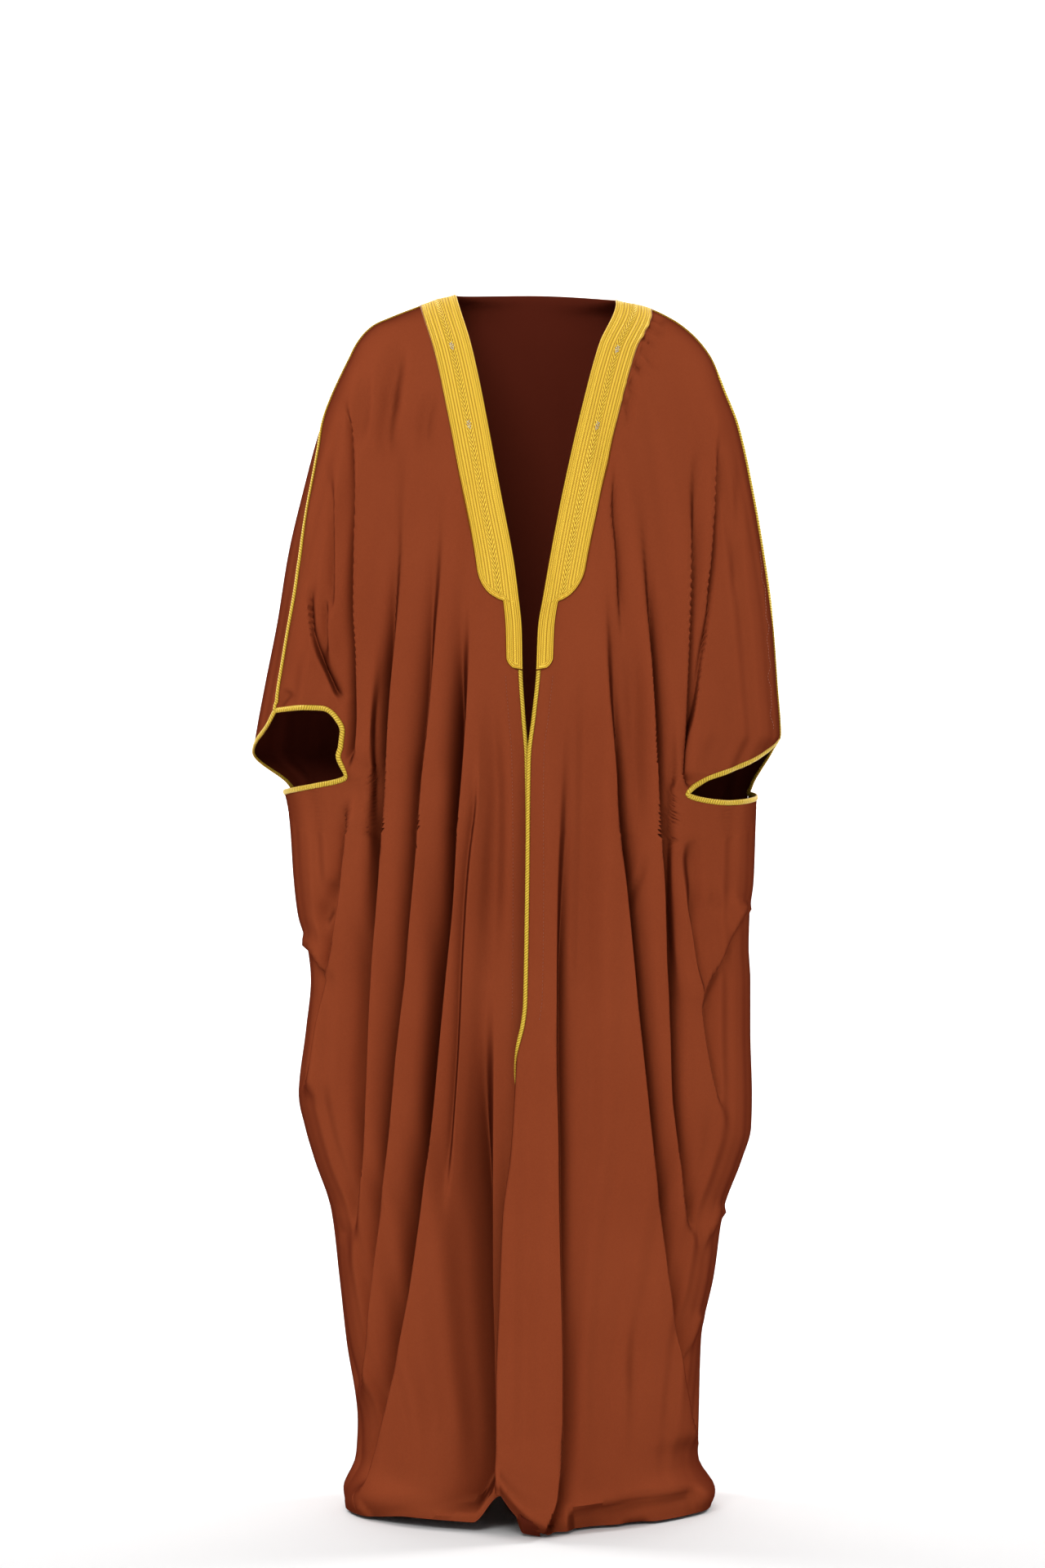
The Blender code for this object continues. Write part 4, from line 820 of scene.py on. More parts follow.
def feed(tree, node, values):
    # give a node's inputs their values, or links from other nodes
    for label, value in values.items():
        socket = node.inputs[label]
        if isinstance(value, tuple):
            socket.default_value = (*value, 1.0)
        elif isinstance(value, (int, float)):
            socket.default_value = value
        else:
            tree.links.new(value, socket)


def mathNode(tree, operation, *values):
    node = tree.nodes.new("ShaderNodeMath")
    node.operation = operation
    feed(tree, node, dict(enumerate(values)))
    return node.outputs[0]


def mixColour(tree, factor, first, second):
    node = tree.nodes.new("ShaderNodeMix")
    node.data_type = "RGBA"
    feed(tree, node, {0: factor, 6: first, 7: second})
    return node.outputs[2]


def noiseNode(tree, vector, scale, detail=2.0, roughness=0.5):
    node = tree.nodes.new("ShaderNodeTexNoise")
    feed(tree, node, {"Vector": vector, "Scale": scale, "Detail": detail, "Roughness": roughness})
    return node.outputs["Fac"]


def parted(tree, vector):
    node = tree.nodes.new("ShaderNodeSeparateXYZ")
    tree.links.new(vector, node.inputs[0])
    return node.outputs


def newGroup(name, inputs, outputs):
    # a node group of plain values: what it is given, what it gives, and a way to add sums to it
    group = bpy.data.node_groups.new(name, "ShaderNodeTree")
    for label, value in inputs.items():
        socket = group.interface.new_socket(name=label, in_out="INPUT", socket_type="NodeSocketFloat")
        socket.default_value = value
    for label in outputs:
        group.interface.new_socket(name=label, in_out="OUTPUT", socket_type="NodeSocketFloat")
    given = group.nodes.new("NodeGroupInput").outputs
    result = group.nodes.new("NodeGroupOutput")
    return group, given, result, lambda operation, *values: mathNode(group, operation, *values)


def buildFabricWeave():
    # fine plain weave, slubs and a slow change of tone
    group, given, result, calc = newGroup(
        "fabricWeave", {"Threads per m": 1500.0, "Tone amount": 0.2}, ["Tone", "Height", "Slow tone"]
    )
    threads = given["Threads per m"]
    place = group.nodes.new("ShaderNodeTexCoord").outputs["Object"]
    x, y, z = parted(group, place)
    warp = calc("SINE", calc("MULTIPLY", calc("ADD", x, y), threads))
    weft = calc("SINE", calc("MULTIPLY", z, threads))
    weave = calc("MULTIPLY", warp, weft)
    grain = noiseNode(group, place, 620.0, 3.0, 0.6)
    slow = noiseNode(group, place, 5.0, 3.0, 0.5)
    fine = calc("MULTIPLY", calc("SUBTRACT", grain, 0.5), 0.9)
    tone = calc("ADD", calc("SUBTRACT", slow, 0.5), fine)
    feed(group, result, {
        "Tone": calc("MULTIPLY_ADD", tone, given["Tone amount"], 0.5),
        "Height": calc("MULTIPLY_ADD", weave, 0.35, grain),
        "Slow tone": slow,
    })
    return group


def buildThreadBraid():
    # slanting metal threads in rows, which turn over from one row to the next, and a chevron in the middle
    group, given, result, calc = newGroup(
        "threadBraid",
        {"Row pitch": 0.0036, "Threads per m": 900.0, "Slant": 1.6, "Middle": 0.0235},
        ["Tone", "Height", "Groove shade"],
    )
    place = group.nodes.new("ShaderNodeUVMap")
    place.uv_map = "thread"
    across, along = parted(group, place.outputs[0])[:2]
    rows = calc("DIVIDE", across, given["Row pitch"])
    turn = calc("MULTIPLY_ADD", calc("MODULO", calc("FLOOR", rows), 2.0), 2.0, -1.0)
    offset = calc("SUBTRACT", calc("FRACT", rows), 0.5)
    slant = calc("MULTIPLY", calc("MULTIPLY", offset, turn), given["Slant"])
    fromMiddle = calc("ABSOLUTE", calc("SUBTRACT", across, given["Middle"]))
    chevron = calc("LESS_THAN", fromMiddle, 0.0034)
    field = calc("SUBTRACT", 1.0, chevron)
    count = calc("MULTIPLY", along, given["Threads per m"])
    plain = calc("ADD", count, slant)
    arrow = calc("ADD", calc("MULTIPLY", count, 0.42), calc("MULTIPLY", fromMiddle, 420.0))
    phase = calc("ADD", calc("MULTIPLY", plain, field), calc("MULTIPLY", arrow, chevron))
    wave = calc("SINE", calc("MULTIPLY", phase, 2 * math.pi))
    thread = calc("MULTIPLY_ADD", wave, 0.5, 0.5)
    ridge = calc("POWER", calc("ABSOLUTE", calc("MULTIPLY", offset, 2.0)), 2.2)
    gap = calc("POWER", calc("SUBTRACT", 1.0, thread), 1.6)
    # painted shade: the grooves between the rows and between the threads are darkened
    grooveShade = calc("MULTIPLY", calc("MAXIMUM", ridge, calc("MULTIPLY", gap, 0.30)), field)
    grooveShade = calc("MULTIPLY", calc("MULTIPLY_ADD", gap, chevron, grooveShade), 0.85)
    # painted shadow: a dark line along the band's outer edge, where the braid meets the cloth
    edgeShadowLine = calc("LESS_THAN", across, 0.0)
    grooveShade = calc("MAXIMUM", grooveShade, edgeShadowLine)
    speckle = noiseNode(group, place.outputs[0], 900.0, 2.0, 0.5)
    feed(group, result, {
        # painted highlight: the colour is lighter on each thread's raised crest, mixed with random speckle
        "Tone": calc("MULTIPLY_ADD", speckle, 0.5, calc("MULTIPLY", thread, 0.6)),
        "Height": calc("SUBTRACT", thread, grooveShade),
        "Groove shade": grooveShade,
    })
    return group


def newMaterial(name):
    material = bpy.data.materials.new(name)
    material.use_nodes = True
    shader = material.node_tree.nodes["Principled BSDF"]
    return material, material.node_tree, shader


def placeGroup(tree, group, values):
    node = tree.nodes.new("ShaderNodeGroup")
    node.node_tree = group
    feed(tree, node, values)
    return node.outputs


def bumped(tree, height, strength, distance):
    bump = tree.nodes.new("ShaderNodeBump")
    feed(tree, bump, {"Height": height, "Strength": strength, "Distance": distance})
    return bump.outputs["Normal"]


fabricWeave = buildFabricWeave()
threadBraid = buildThreadBraid()

robeCloth = {
    "light": (0.285, 0.060, 0.0215),
    "deep": (0.225, 0.043, 0.0150),
    # painted shade: the dark colour that cloth seen at a slant is turned to, and the range of slant over
    # which it comes in
    "paintedShade": (0.100, 0.0165, 0.0065),
    "paintedShadeFrom": 0.18,
    "paintedShadeTo": 0.92,
    # painted shade: the inner faces get a darker copy of the cloth colour
    "inside": (0.120, 0.020, 0.010),
    "roughness": 0.58,
    "specular": 0.0,
    "threads": 5200.0,
}


def clothMaterial(name, light, deep, roughness):
    # plain weave
    material, tree, shader = newMaterial(name)
    weave = placeGroup(tree, fabricWeave, {"Threads per m": robeCloth["threads"], "Tone amount": 0.9})
    # painted shade: where the cloth is seen at a slant its colour is darkened towards robeCloth's shade
    # colour, standing in for the shade in deep folds and at the sides
    facing = tree.nodes.new("ShaderNodeLayerWeight")
    facing.inputs["Blend"].default_value = 0.5
    slant = tree.nodes.new("ShaderNodeMapRange")
    slant.interpolation_type = "SMOOTHSTEP"
    feed(tree, slant, {
        "Value": facing.outputs["Facing"],
        "From Min": robeCloth["paintedShadeFrom"],
        "From Max": robeCloth["paintedShadeTo"],
    })
    colour = mixColour(tree, weave["Tone"], deep, light)
    feed(tree, shader, {
        "Base Color": mixColour(tree, slant.outputs["Result"], colour, robeCloth["paintedShade"]),
        "Roughness": mathNode(tree, "MULTIPLY_ADD", weave["Slow tone"], 0.16, roughness - 0.08),
        "Specular IOR Level": robeCloth["specular"],
        "Normal": bumped(tree, weave["Height"], 0.18, 0.0004),
    })
    return material


brownCloth = clothMaterial("brownCloth", robeCloth["light"], robeCloth["deep"], robeCloth["roughness"])
# painted shade: the inner faces are a darker copy of the cloth material
shadedBrownInside = clothMaterial("shadedBrownInside", robeCloth["inside"], robeCloth["inside"], 0.6)

goldThread = {
    "bright": (1.0, 0.74, 0.080),
    "mid": (0.98, 0.53, 0.026),
    # painted shade: the dark colour of the grooves between the threads
    "grooveShade": (0.27, 0.075, 0.002),
    "metallic": 0.18,
    "roughness": 0.42,
}


def goldMaterial(name, pitch, threads, slant, middle, relief, depth=1.0):
    # braid of gold threads; depth below 1 makes the gold deeper
    material, tree, shader = newMaterial(name)
    braid = placeGroup(tree, threadBraid, {
        "Row pitch": pitch, "Threads per m": threads, "Slant": slant, "Middle": middle,
    })
    mid = tuple(depth * c for c in goldThread["mid"])
    # lighter gold on the thread crests is a painted highlight; on the random speckle it is the thread's own
    # tone
    colour = mixColour(tree, braid["Tone"], mid, goldThread["bright"])
    rough = goldThread["roughness"] + 0.08
    feed(tree, shader, {
        # painted shade in the grooves, and the painted shadow line along the band's outer edge
        "Base Color": mixColour(tree, braid["Groove shade"], colour, goldThread["grooveShade"]),
        "Roughness": mathNode(tree, "MULTIPLY_ADD", braid["Tone"], -0.15, rough),
        "Metallic": goldThread["metallic"],
        "Specular IOR Level": 0.2,
        "Normal": bumped(tree, braid["Height"], 0.6, relief),
    })
    return material


bandGold = goldMaterial(
    "bandGold", pitch=0.0036, threads=400.0, slant=1.1, middle=0.0235, relief=0.0006
)
cordGold = goldMaterial(
    "cordGold", pitch=0.5, threads=300.0, slant=0.9, middle=9.0, relief=0.0012, depth=0.42
)


def plainThread(name, colour, metallic, roughness):
    # sewing thread
    material, tree, shader = newMaterial(name)
    weave = placeGroup(tree, fabricWeave, {"Threads per m": 9000.0, "Tone amount": 0.8})
    feed(tree, shader, {
        "Base Color": mixColour(tree, weave["Tone"], tuple(0.7 * c for c in colour), colour),
        "Metallic": metallic,
        "Roughness": roughness,
        "Normal": bumped(tree, weave["Height"], 0.3, 0.0003),
    })
    return material


stitchThread = plainThread("stitchThread", (0.42, 0.13, 0.075), 0.0, 0.5)
silverThread = plainThread("silverThread", (0.80, 0.80, 0.76), 0.5, 0.35)
print("materials made")

# The two open fronts; the left one's edge is folded back under it below the knee
frontPanels = {"rows": 191, "columns": 250, "dense": 900, "bendWeight": 0.0090, "rounds": 4600}


def turnedWidth(side, z):
    # how much of a front's edge is folded back at each height
    if side < 0:
        return 0.0 * z
    width = drape["turnWidth"] * ease((drape["turnFrom"] - z) / 0.14)
    return width + hemShape["turnWider"] * ease((hemShape["turnFrom"] - z) / 0.10)


def alongLines(lines, distances):
    # angles and heights at each row's distances from the edge
    return [np.array([np.interp(d, line[2], line[k]) for d, line in zip(distances, lines)]) for k in (0, 1)]


def laid(side, lines, distances, facing=True):
    # points of a front and their outward directions, from their distances to its edge
    edgeAngle = np.array([line[0][0] for line in lines])[:, None]
    edgeLevel = np.array([line[1][0] for line in lines])[:, None]
    distances = np.broadcast_to(distances, (len(lines), np.shape(distances)[-1]))
    turned = turnedWidth(side, edgeLevel)
    angle, level = alongLines(lines, np.maximum(distances - turned, 0.0))
    points = cloth(side, angle, level)
    out = outward(side, angle, level) if facing else None
    if side > 0 and turned.max() > 1e-6:
        beside = [cloth(side, edgeAngle + turn, edgeLevel) for turn in (-0.6, 0.6)]
        along = unit(beside[0] - beside[1])
        first = outward(side, edgeAngle, edgeLevel)
        radius = drape["turnRadius"]
        reach = np.minimum(turned / (radius * math.pi), 1.0) * math.pi
        back = np.maximum(turned - distances, 0.0) / radius
        bent = np.minimum(back, reach)
        rest = (back - bent) * radius
        aside = radius * np.sin(bent) + rest * np.cos(reach)
        behind = -radius * (1 - np.cos(bent)) - rest * np.sin(reach)
        points = points + aside[..., None] * along + behind[..., None] * first
        low = ease((hemShape["liftFrom"] - edgeLevel) / hemShape["liftSpan"])
        points[..., 2] -= hemShape["leftLift"] * low * ease((back * radius - 0.026) / 0.020)
        if facing:
            rolled = np.cos(bent)[..., None] * first + np.sin(bent)[..., None] * along
            out = np.where((back > 0)[..., None], rolled, out)
    return points, out


def followedFolds(side, lines, count):
    # distances along each row, closer together where the cloth is steep or bent
    edges = np.array([line[1][0] for line in lines])
    total = np.array([line[2][-1] for line in lines]) + turnedWidth(side, edges)
    distances = np.linspace(0, 1, frontPanels["dense"]) * total[:, None]
    step = np.diff(laid(side, lines, distances, False)[0], axis=1)
    weight = np.linalg.norm(step, axis=-1)
    heading = step / weight[..., None]
    weight = 0.45 * weight + 0.55 * np.diff(distances, axis=1)
    bend = np.arccos(np.clip(np.sum(heading[:, 1:] * heading[:, :-1], axis=-1), -1, 1))
    weight[:, 1:] += frontPanels["bendWeight"] * bend
    padded = np.concatenate([weight[:1]] * 4 + [weight] + [weight[-1:]] * 4)
    weight = sum(padded[k:k + len(weight)] for k in range(9))
    found = []
    for row, places in zip(weight, distances):
        grown = np.concatenate([[0], np.cumsum(row)])
        found.append(np.interp(np.linspace(0, grown[-1], count), grown, places))
    return np.array(found)


clothPieces = {}
for side in (-1, 1):
    lines = untangled(side, spacedRows(frontPanels["rows"]), frontPanels["rounds"])
    distances = followedFolds(side, lines, frontPanels["columns"])
    points = laid(side, lines, distances, False)[0]
    facing = gridNormals(points, roundBody(points))
    name = "front" + sideNames[side] + "Cloth"
    clothPieces[side] = addShell(
        name, points, points - facing * drape["thickness"], [brownCloth, shadedBrownInside]
    )
print("fronts draped")

# The back, from the shoulder seams to the hem
backPanel = {"rows": 150, "seamColumns": 100, "neckColumns": 40, "neckShare": 0.35, "neckLow": 0.011}


def backEntries(seamDistances, neckPlaces, down):
    # side, angle and height of each point of the back, with a column for each place along its top
    ends, wrists = {}, {}
    for side in (-1, 1):
        angle, z, run = frontLines(side, np.array([0.0]))[0]
        wrists[side] = (angle[-1], z[-1])
        d = seamDistances(run[-1])
        ends[side] = (np.interp(d, run, angle), np.interp(d, run, z), d / run[-1])
    share = backPanel["neckShare"]
    neckAngle = np.where(neckPlaces < 0.5, 90 + 180 * neckPlaces, 270 - 180 * neckPlaces)
    neckZ = smooth([0, 0.5, 1], [ends[-1][1][0], backPanel["neckLow"], ends[1][1][0]], neckPlaces)
    tops = []
    for angle, z, d in list(zip(*ends[-1]))[::-1]:
        tops.append((-1, angle, z, share * (1 - d)))
    for angle, z, place in zip(neckAngle, neckZ, neckPlaces):
        tops.append((-1 if place < 0.5 else 1, angle, z, share + (1 - 2 * share) * place))
    for angle, z, d in zip(*ends[1]):
        tops.append((1, angle, z, 1 - share * (1 - d)))

    def place(side, angle, z):
        return side * halfWidth(side, z) * (180.0 - angle) / 90.0

    corners = [np.array([float(place(s, *wrists[s])), wrists[s][1]]) for s in (-1, 1)]
    hems = [np.array([float(place(s, 90.0, cut["hem"])), cut["hem"]]) for s in (-1, 1)]
    edges = []
    for side in (-1, 1):
        angle, z = sideCurve(side, down, "back")
        edges.append(np.stack([place(side, angle, z), z]))
    upper = (1 - down) ** 3
    found = []
    for side, angle, z, across in tops:
        top = np.array([float(place(side, angle, z)), z])
        hem = hems[0] + (hems[1] - hems[0]) * across
        mixed = upper * top[:, None] + (1 - upper) * hem[:, None]
        mixed = mixed + (1 - across) * edges[0] + across * edges[1]
        corner = (1 - across) * corners[0] + across * corners[1]
        low = (1 - across) * hems[0] + across * hems[1]
        mixed = mixed - upper * corner[:, None] - (1 - upper) * low[:, None]
        length, level = mixed
        angles = np.where(
            length < 0,
            180.0 + 90.0 * length / halfWidth(-1, level),
            180.0 - 90.0 * length / halfWidth(1, level),
        )
        found.append((np.where(length < 0, -1, 1), angles, level))
    return [np.array(part).T for part in zip(*found)]


def bySide(shape, signed, angle, z):
    # what cloth or outward says for each point's own side
    return np.where((signed < 0)[..., None], shape(-1, angle, z), shape(1, angle, z))


down = np.concatenate([[0], spacedRows(backPanel["rows"])[1:] ** 1.15])
signed, angle, level = backEntries(
    lambda length: np.linspace(0, length, backPanel["seamColumns"]),
    np.linspace(0, 1, backPanel["neckColumns"] + 2)[1:-1],
    down,
)
points = bySide(cloth, signed, angle, level)
facing = gridNormals(points, roundBody(points))
backCloth = addShell("backCloth", points, points - facing * drape["thickness"], [brownCloth, shadedBrownInside])
print("back draped")

# Neck bands: gold braid with raised ribs, a rounded corner and a narrow tail
neckBand = {
    "stations": 190,
    "columns": 64,
    "lift": 0.0007,
    "thick": 0.0011,
    "ribHeight": 0.00055,
    "borderRib": 0.0024,
    "ribPitch": 0.0036,
    "chevronHalf": 0.0034,
    "rim": 0.0009,          # width of the rounded rim, and of the dark line round the outer edge
    "ground": 0.0001,       # gap between the band and the cloth
    "cornerFade": 26,       # extra stations round the corner
    "tipFrom": -0.452,      # where the tail's tip starts to round off
}


def ribProfile(inner, edge):
    # height of the braid above the band's ground, from its distances to the inner edge and to any edge
    border = np.abs(np.sin(math.pi * np.clip(edge / neckBand["borderRib"], 0, 3)))
    plain = np.abs(np.sin(math.pi * inner / neckBand["ribPitch"]))
    middle = np.abs(inner - cut["bandWidth"] / 2)
    chevron = np.sqrt(np.clip(1 - (middle / neckBand["chevronHalf"]) ** 2, 0, 1)) * 1.25
    field = np.where(middle < neckBand["chevronHalf"], chevron, plain ** 0.6 * 0.8)
    return np.where(edge < 3 * neckBand["borderRib"], border ** 0.6, field)


def braidFaces(points, facing, height, rim):
    # upper and lower face of a band, thinner at its rim
    thick = neckBand["lift"] + neckBand["thick"] * (0.4 + 0.6 * rim) + height * neckBand["ribHeight"] * rim
    return points + facing * thick[..., None], points + facing * neckBand["ground"]


bandPieces = {}
for side in (-1, 1):
    rows = np.linspace(0, edgeRows(side, cut["tailEnd"]), neckBand["stations"])
    turnLevels = np.linspace(cut["bandCorner"] + 0.004, cut["bandEnd"] - 0.003, neckBand["cornerFade"])
    tipLevels = np.linspace(-0.450, cut["tailEnd"], 12)
    rows = np.unique(np.concatenate([rows, edgeRows(side, turnLevels), edgeRows(side, tipLevels)]))
    z = edgeCurve(side, rows)[1]
    turn = np.clip((cut["bandCorner"] - z) / (cut["bandCorner"] - cut["bandEnd"]), 0, 1)
    width = cut["tailWidth"] + (cut["bandWidth"] - cut["tailWidth"]) * np.sqrt(1 - turn ** 2)
    tail = np.clip((neckBand["tipFrom"] - z) / (neckBand["tipFrom"] - cut["tailEnd"]), 0, 1)
    width = width * (0.35 + 0.65 * np.sqrt(1 - 0.98 * tail ** 2))
    share = np.linspace(0, 1, neckBand["columns"])
    inner = share[None, :] * width[:, None]
    angle, level = alongLines(frontLines(side, rows), inner)
    points, facing = cloth(side, angle, level), outward(side, angle, level)
    alongEdge = runs(points[:, 0])
    outline = np.concatenate([
        np.stack([width, alongEdge], axis=1),
        np.stack([np.linspace(width[-1], 0, 12), np.full(12, alongEdge[-1])], axis=1),
    ])
    flat = np.stack([inner, alongEdge[:, None] + 0 * inner], axis=-1)
    nearest = np.full(inner.shape, 9.0)
    for a in outline:
        nearest = np.minimum(nearest, np.hypot(flat[..., 0] - a[0], flat[..., 1] - a[1]))
    edge = np.minimum(inner, nearest)
    rim = np.clip(edge / neckBand["rim"], 0, 1)
    upper, lower = braidFaces(points, facing, ribProfile(inner, edge), rim)
    # border ribs follow the outline, so their threads are laid out from the edge
    border = edge * neckBand["ribPitch"] / neckBand["borderRib"]
    across = np.where(edge < 3 * neckBand["borderRib"], border, inner)
    # on the outer rim, the braid gets the painted shadow line
    across = np.where((edge < neckBand["rim"]) & (nearest < inner), -1.0, across)
    uv = np.stack([across, flat[..., 1]], axis=-1)
    bandPieces[side] = addShell("neckBand" + sideNames[side], upper, lower, [bandGold], uv=uv, split=50)
print("neck bands laid")

# The band round the back of the neck, whose ends lie along the shoulder seams
backBand = {
    "reach": 0.04,
    "rows": 110,
    "seamColumns": 30,
    "neckColumns": 60,
    "across": 40,
    "threadStep": 0.0025,   # run of the threads from one column to the next
}
ends = backBand["seamColumns"]
signed, angle, level = backEntries(
    lambda length: np.linspace(0, cut["bandWidth"], ends),
    np.linspace(0, 1, backBand["neckColumns"] + 2)[1:-1],
    backBand["reach"] * np.linspace(0, 1, backBand["rows"]),
)
line = bySide(cloth, signed, angle, level)
neckLine = line[0, ends - 1:1 - ends]
places, fromNeck = [], []
for k in range(line.shape[1]):
    run = runs(line[:, k])
    far = np.linalg.norm(line[:, k, None] - neckLine[None], axis=2).min(axis=1)
    width = max(np.interp(cut["bandWidth"], np.maximum.accumulate(far), run), 0.003)
    d = np.linspace(0, width, backBand["across"])
    which = np.full(len(d), 1 if np.interp(width, run, signed[:, k]) > 0 else -1)
    places.append((which, np.interp(d, run, angle[:, k]), np.interp(d, run, level[:, k]), d))
    fromNeck.append(np.interp(d, run, far))
which, angle, level, across = [np.array([place[k] for place in places]) for k in range(4)]
fromNeck = np.array(fromNeck)
points, facing = bySide(cloth, which, angle, level), bySide(outward, which, angle, level)
nearest = across[:, -1:] - across
nearest[ends:-ends] = np.minimum(nearest, across)[ends:-ends]
profile = ribProfile(fromNeck, np.minimum(fromNeck, cut["bandWidth"] - fromNeck))
upper, lower = braidFaces(points, facing, profile, np.clip(nearest / neckBand["rim"], 0, 1))
threadRun = backBand["threadStep"] * np.arange(len(places))[:, None] + 0 * across
coords = np.stack([fromNeck, threadRun], axis=-1)
bandPieces[0] = addShell("neckBandBack", upper, lower, [bandGold], uv=coords, split=50)
print("back band laid")

# Gold cords: down both front edges, along the shoulder seams and round the hand openings
cords = {
    "edgeHalf": 0.0028,
    "seamHalf": 0.0026,
    "cuffHalf": 0.0034,
    "thick": 0.0013,
    "cuffThick": 0.0017,
    "step": 0.0035,
    "lastRow": {-1: 0.9985, 1: 0.972},   # where the edge cords end at the hem
    "lean": 2.5,                         # how far the left seam's cord turns to the front
}


def framed(along, out):
    # directions across a cord and out of the cloth, square to its run
    across = unit(np.cross(along, out))
    return across, unit(np.cross(across, along))


cordPieces = {}
for side in (-1, 1):
    first = edgeRows(side, cut["tailEnd"] - 0.0005)
    rows = np.linspace(first, cords["lastRow"][side], int(1.03 / cords["step"]))
    lines = frontLines(side, rows)
    points, facing = laid(side, lines, np.array([0.0, cords["edgeHalf"], 2 * cords["edgeHalf"]]))
    across = unit(points[:, 2] - points[:, 0])
    centres = points[:, 1] + facing[:, 1] * (cords["thick"] * 0.7)
    name = "frontEdgeCord" + sideNames[side]
    cordPieces["edge", side] = addTube(
        name, centres, across, facing[:, 1], cords["edgeHalf"], cords["thick"], cordGold
    )

    angle, z, run = frontLines(side, np.array([0.0]))[0]
    d = np.linspace(cut["bandWidth"] + 0.001, run[-1], int(run[-1] / cords["step"]))
    at, level = np.interp(d, run, angle), np.interp(d, run, z)
    centre, out = cloth(side, at, level), outward(side, at, level)
    if side > 0:   # the left seam is pinched, and its cord turns to the front
        out[:, 1] -= cords["lean"] * ease((-0.08 - level) / 0.05) * ease((level + 0.42) / 0.10)
    across, out = framed(np.gradient(centre, axis=0), out)
    name = "shoulderCord" + sideNames[side]
    cordPieces["seam", side] = addTube(
        name, centre + out * cords["thick"] * 0.6, across, out, cords["seamHalf"], cords["thick"], cordGold
    )

    # the binding runs down the front's half of the hand opening and back up the other half
    ring = []
    for half in ("front", "back"):
        at, level = sideCurve(side, np.linspace(0, cut["cuffCorner"], 110), half)
        ring.append(np.stack([cloth(side, at, level), outward(side, at, level)], axis=1))
    ring = np.concatenate([ring[0], ring[1][-2:0:-1]])
    centre, out = ring[:, 0], ring[:, 1]
    centre = (np.roll(centre, 1, axis=0) + 2 * centre + np.roll(centre, -1, axis=0)) / 4
    loop = np.concatenate([np.stack([centre, out], axis=1), [[centre[0], out[0]]]])
    run = runs(loop[:, 0])
    at = np.linspace(0, run[-1], 170, endpoint=False)
    centre, out = [np.stack([np.interp(at, run, loop[:, j, k]) for k in range(3)], axis=1) for j in (0, 1)]
    across, out = framed(np.roll(centre, -1, axis=0) - np.roll(centre, 1, axis=0), out)
    name = "cuffBinding" + sideNames[side]
    cordPieces["cuff", side] = addTube(
        name, centre, across, out, cords["cuffHalf"], cords["cuffThick"], cordGold, closed=True
    )
print("cords and bindings laid")

# Top stitching beside both front edges, and the wavy line beside the left sleeve seam
stitching = {
    "fromEdge": 0.021,
    "length": 0.0026,
    "gap": 0.0018,
    "top": -0.475,
    "bottom": -0.885,
    "lift": 0.0003,
    "waveTop": -0.315,
    "waveBottom": -0.535,
    "waveStitches": 59,
}
stitchPieces = {}
for side in (-1, 1):
    levels = np.arange(stitching["top"], stitching["bottom"], -(stitching["length"] + stitching["gap"]))
    rows = edgeRows(side, np.concatenate([levels, levels - stitching["length"]]))
    path, out = laid(side, frontLines(side, rows), np.array([stitching["fromEdge"]]))
    half = len(levels)
    path = path[:, 0] + out[:, 0] * stitching["lift"]
    name = "topStitch" + sideNames[side]
    stitchPieces[side] = addStitches(name, path[:half], path[half:], out[:half, 0], stitchThread)
level = np.linspace(stitching["waveTop"], stitching["waveBottom"], stitching["waveStitches"] + 1)
angle = smooth([-0.54, -0.45, -0.39, -0.315], [74.5, 76.0, 77.5, 79.0], level)
angle = angle + 1.0 * np.sin(level * 150) + 0.7 * np.sin(level * 260 + 1)
out = outward(1, angle, level)
wave = cloth(1, angle, level) + out * stitching["lift"]
ends = wave[:-1] + (wave[1:] - wave[:-1]) * 0.62
stitchPieces[0] = addStitches("sleeveStitch", wave[:-1], ends, out[:-1], stitchThread, 0.0002, 0.0004)

# Two small silver sprigs on each neck band
sprig = {
    "levels": {-1: (-0.065, -0.166), 1: (-0.068, -0.166)},
    "size": 0.0085,
    "threads": 7,
    "lift": 0.0011,
}
sprigPieces = {}
for side in (-1, 1):
    starts, ends, outs = [], [], []
    for row in edgeRows(side, sprig["levels"][side]):
        p, n = laid(side, frontLines(side, np.array([row, row + 0.01])), np.array([0.0215, 0.0255]))
        across = unit(p[0, 1] - p[0, 0])
        along = unit(p[1, 0] - p[0, 0])
        top = (p[0, 0] + p[0, 1]) / 2 + n[0, 0] * (neckBand["lift"] + neckBand["thick"] + sprig["lift"])
        for k in range(sprig["threads"]):
            t = (k + 0.5) / sprig["threads"] - 0.5
            reach = sprig["size"] * 0.32 * math.sqrt(max(1 - (2 * t) ** 2, 0.08))
            base = top + along * t * sprig["size"] * 1.3
            starts.append(base)
            ends.append(base + across * reach * (1 if k % 2 else -1) - along * 0.0022)
            outs.append(n[0, 0])
    sprigPieces[side] = addStitches(
        "silverSprigs" + sideNames[side], starts, ends, outs, silverThread, 0.0006, 0.0011
    )
print("stitches laid")



def declare(piece, node=None):
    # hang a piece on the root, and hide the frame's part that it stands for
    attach(piece, "root")
    if node:
        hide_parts(node)


for side, word in sideWords.items():
    declare(clothPieces[side], "front_" + word)
    declare(bandPieces[side], "neck_band_" + word)
    for key, node in (("edge", "front_edge_"), ("seam", "shoulder_cord_"), ("cuff", "cuff_binding_")):
        declare(cordPieces[key, side], node + word)
    declare(stitchPieces[side])
    declare(sprigPieces[side])
declare(stitchPieces[0])
declare(backCloth, "back")
declare(bandPieces[0], "neck_band_back")


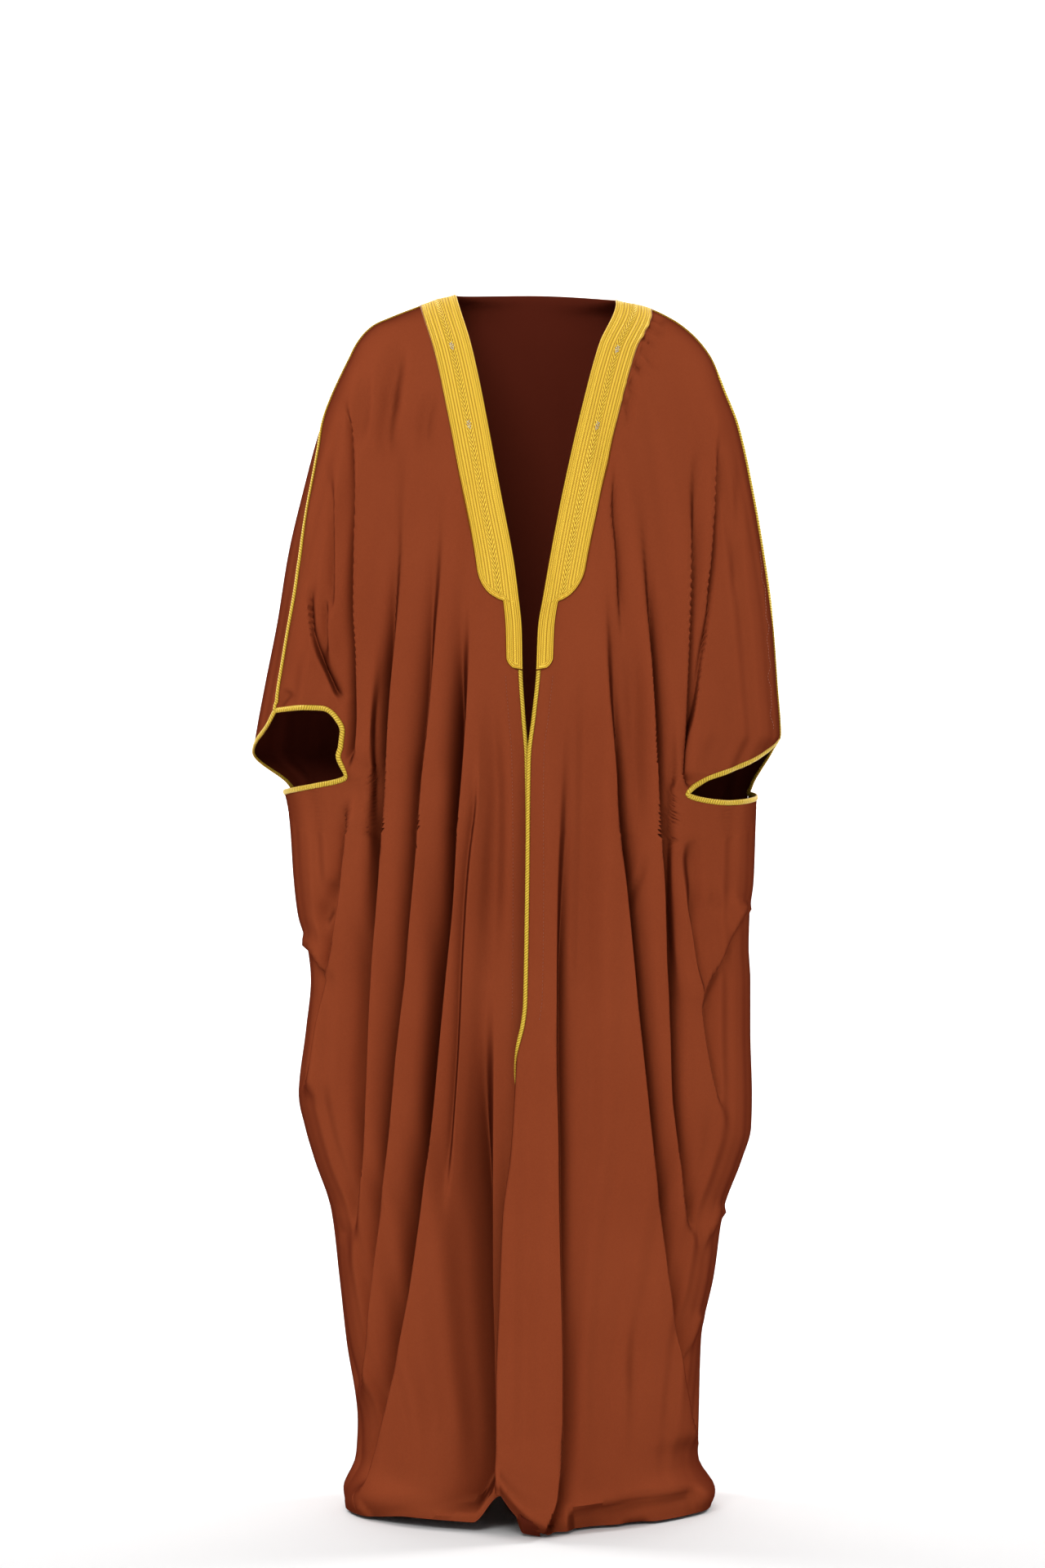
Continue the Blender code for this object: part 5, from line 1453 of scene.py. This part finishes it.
studio = {
    "floor": (0.82, 0.82, 0.82),
    "halfWidth": 9.0,
    "bendFrom": 2.6,        # where the floor starts to bend up into the backdrop
    "bendRadius": 1.6,
    "wallTop": 7.0,
    "world": 0.44,
    "key": {"place": (-0.7, -3.5, 1.7), "aim": (0, 0, -0.45), "size": 1.9, "power": 84.0},
    "fill": {"place": (1.6, -4.6, 0.0), "aim": (0, 0, -0.8), "size": 2.0, "power": 6.0},
    "top": {"place": (0.0, -1.0, 3.0), "aim": (0, 0, -1.4), "size": 2.2, "power": 10.0},
    "backdropRight": {"place": (-3.0, 1.6, 1.6), "aim": (0, 4, 0.2), "size": 2.0, "power": 200.0},
    "backdropLeft": {"place": (3.0, 1.6, 1.6), "aim": (0, 4, 0.2), "size": 2.0, "power": 200.0},
}
photoCamera = {"lens": 92.8, "sensor": 36.0}   # millimetres
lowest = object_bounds()[0][2]
wide, start, radius = studio["halfWidth"], studio["bendFrom"], studio["bendRadius"]
profile = [(-wide, 0.0), (start, 0.0)]
for k in range(1, 13):
    bend = math.pi / 2 * k / 12
    profile.append((start + radius * math.sin(bend), radius * (1 - math.cos(bend))))
profile.append((start + radius, studio["wallTop"]))
sweepPoints = []
for y, z in profile:
    sweepPoints.extend([(across, y, lowest - 0.0005 + z) for across in (-wide, wide)])
sweepFaces = [(2 * k, 2 * k + 1, 2 * k + 3, 2 * k + 2) for k in range(len(profile) - 1)]
paper, paperTree, paperShader = newMaterial("studioPaper")
grain = noiseNode(paperTree, paperTree.nodes.new("ShaderNodeTexCoord").outputs["Object"], 3.0)
rearSide = paperTree.nodes.new("ShaderNodeNewGeometry").outputs["Backfacing"]
feed(paperTree, paperShader, {
    "Base Color": mixColour(paperTree, grain, studio["floor"], tuple(0.985 * c for c in studio["floor"])),
    "Roughness": 0.9,
    "Alpha": mathNode(paperTree, "SUBTRACT", 1.0, rearSide),   # clear when seen from behind
})
sweep = addMesh("studioSweep", sweepPoints, sweepFaces, [paper])

world = bpy.data.worlds.new("studioLight")
world.use_nodes = True
world.node_tree.nodes["Background"].inputs["Color"].default_value = (1, 1, 1, 1)
world.node_tree.nodes["Background"].inputs["Strength"].default_value = studio["world"]
bpy.context.scene.world = world
for name in ("key", "fill", "top", "backdropRight", "backdropLeft"):
    light = bpy.data.lights.new(name, "AREA")
    light.energy = studio[name]["power"]
    light.size = studio[name]["size"]
    lamp = addObject(name, light)
    lamp.location = studio[name]["place"]
    aim = Vector(studio[name]["aim"]) - lamp.location
    lamp.rotation_euler = aim.to_track_quat("-Z", "Y").to_euler()

cameraData = bpy.data.cameras.new("photoCamera")
cameraData.sensor_fit = "VERTICAL"
cameraData.sensor_height = photoCamera["sensor"]
cameraData.lens = photoCamera["lens"]
camera = addObject("photoCamera", cameraData)
camera.location = (drape["eyeAcross"], -drape["eyeDistance"], drape["eyeHeight"])
camera.rotation_euler = (math.radians(90), 0, 0)
bpy.context.scene.camera = camera
bpy.context.scene.view_settings.view_transform = "Standard"
print("studio set")
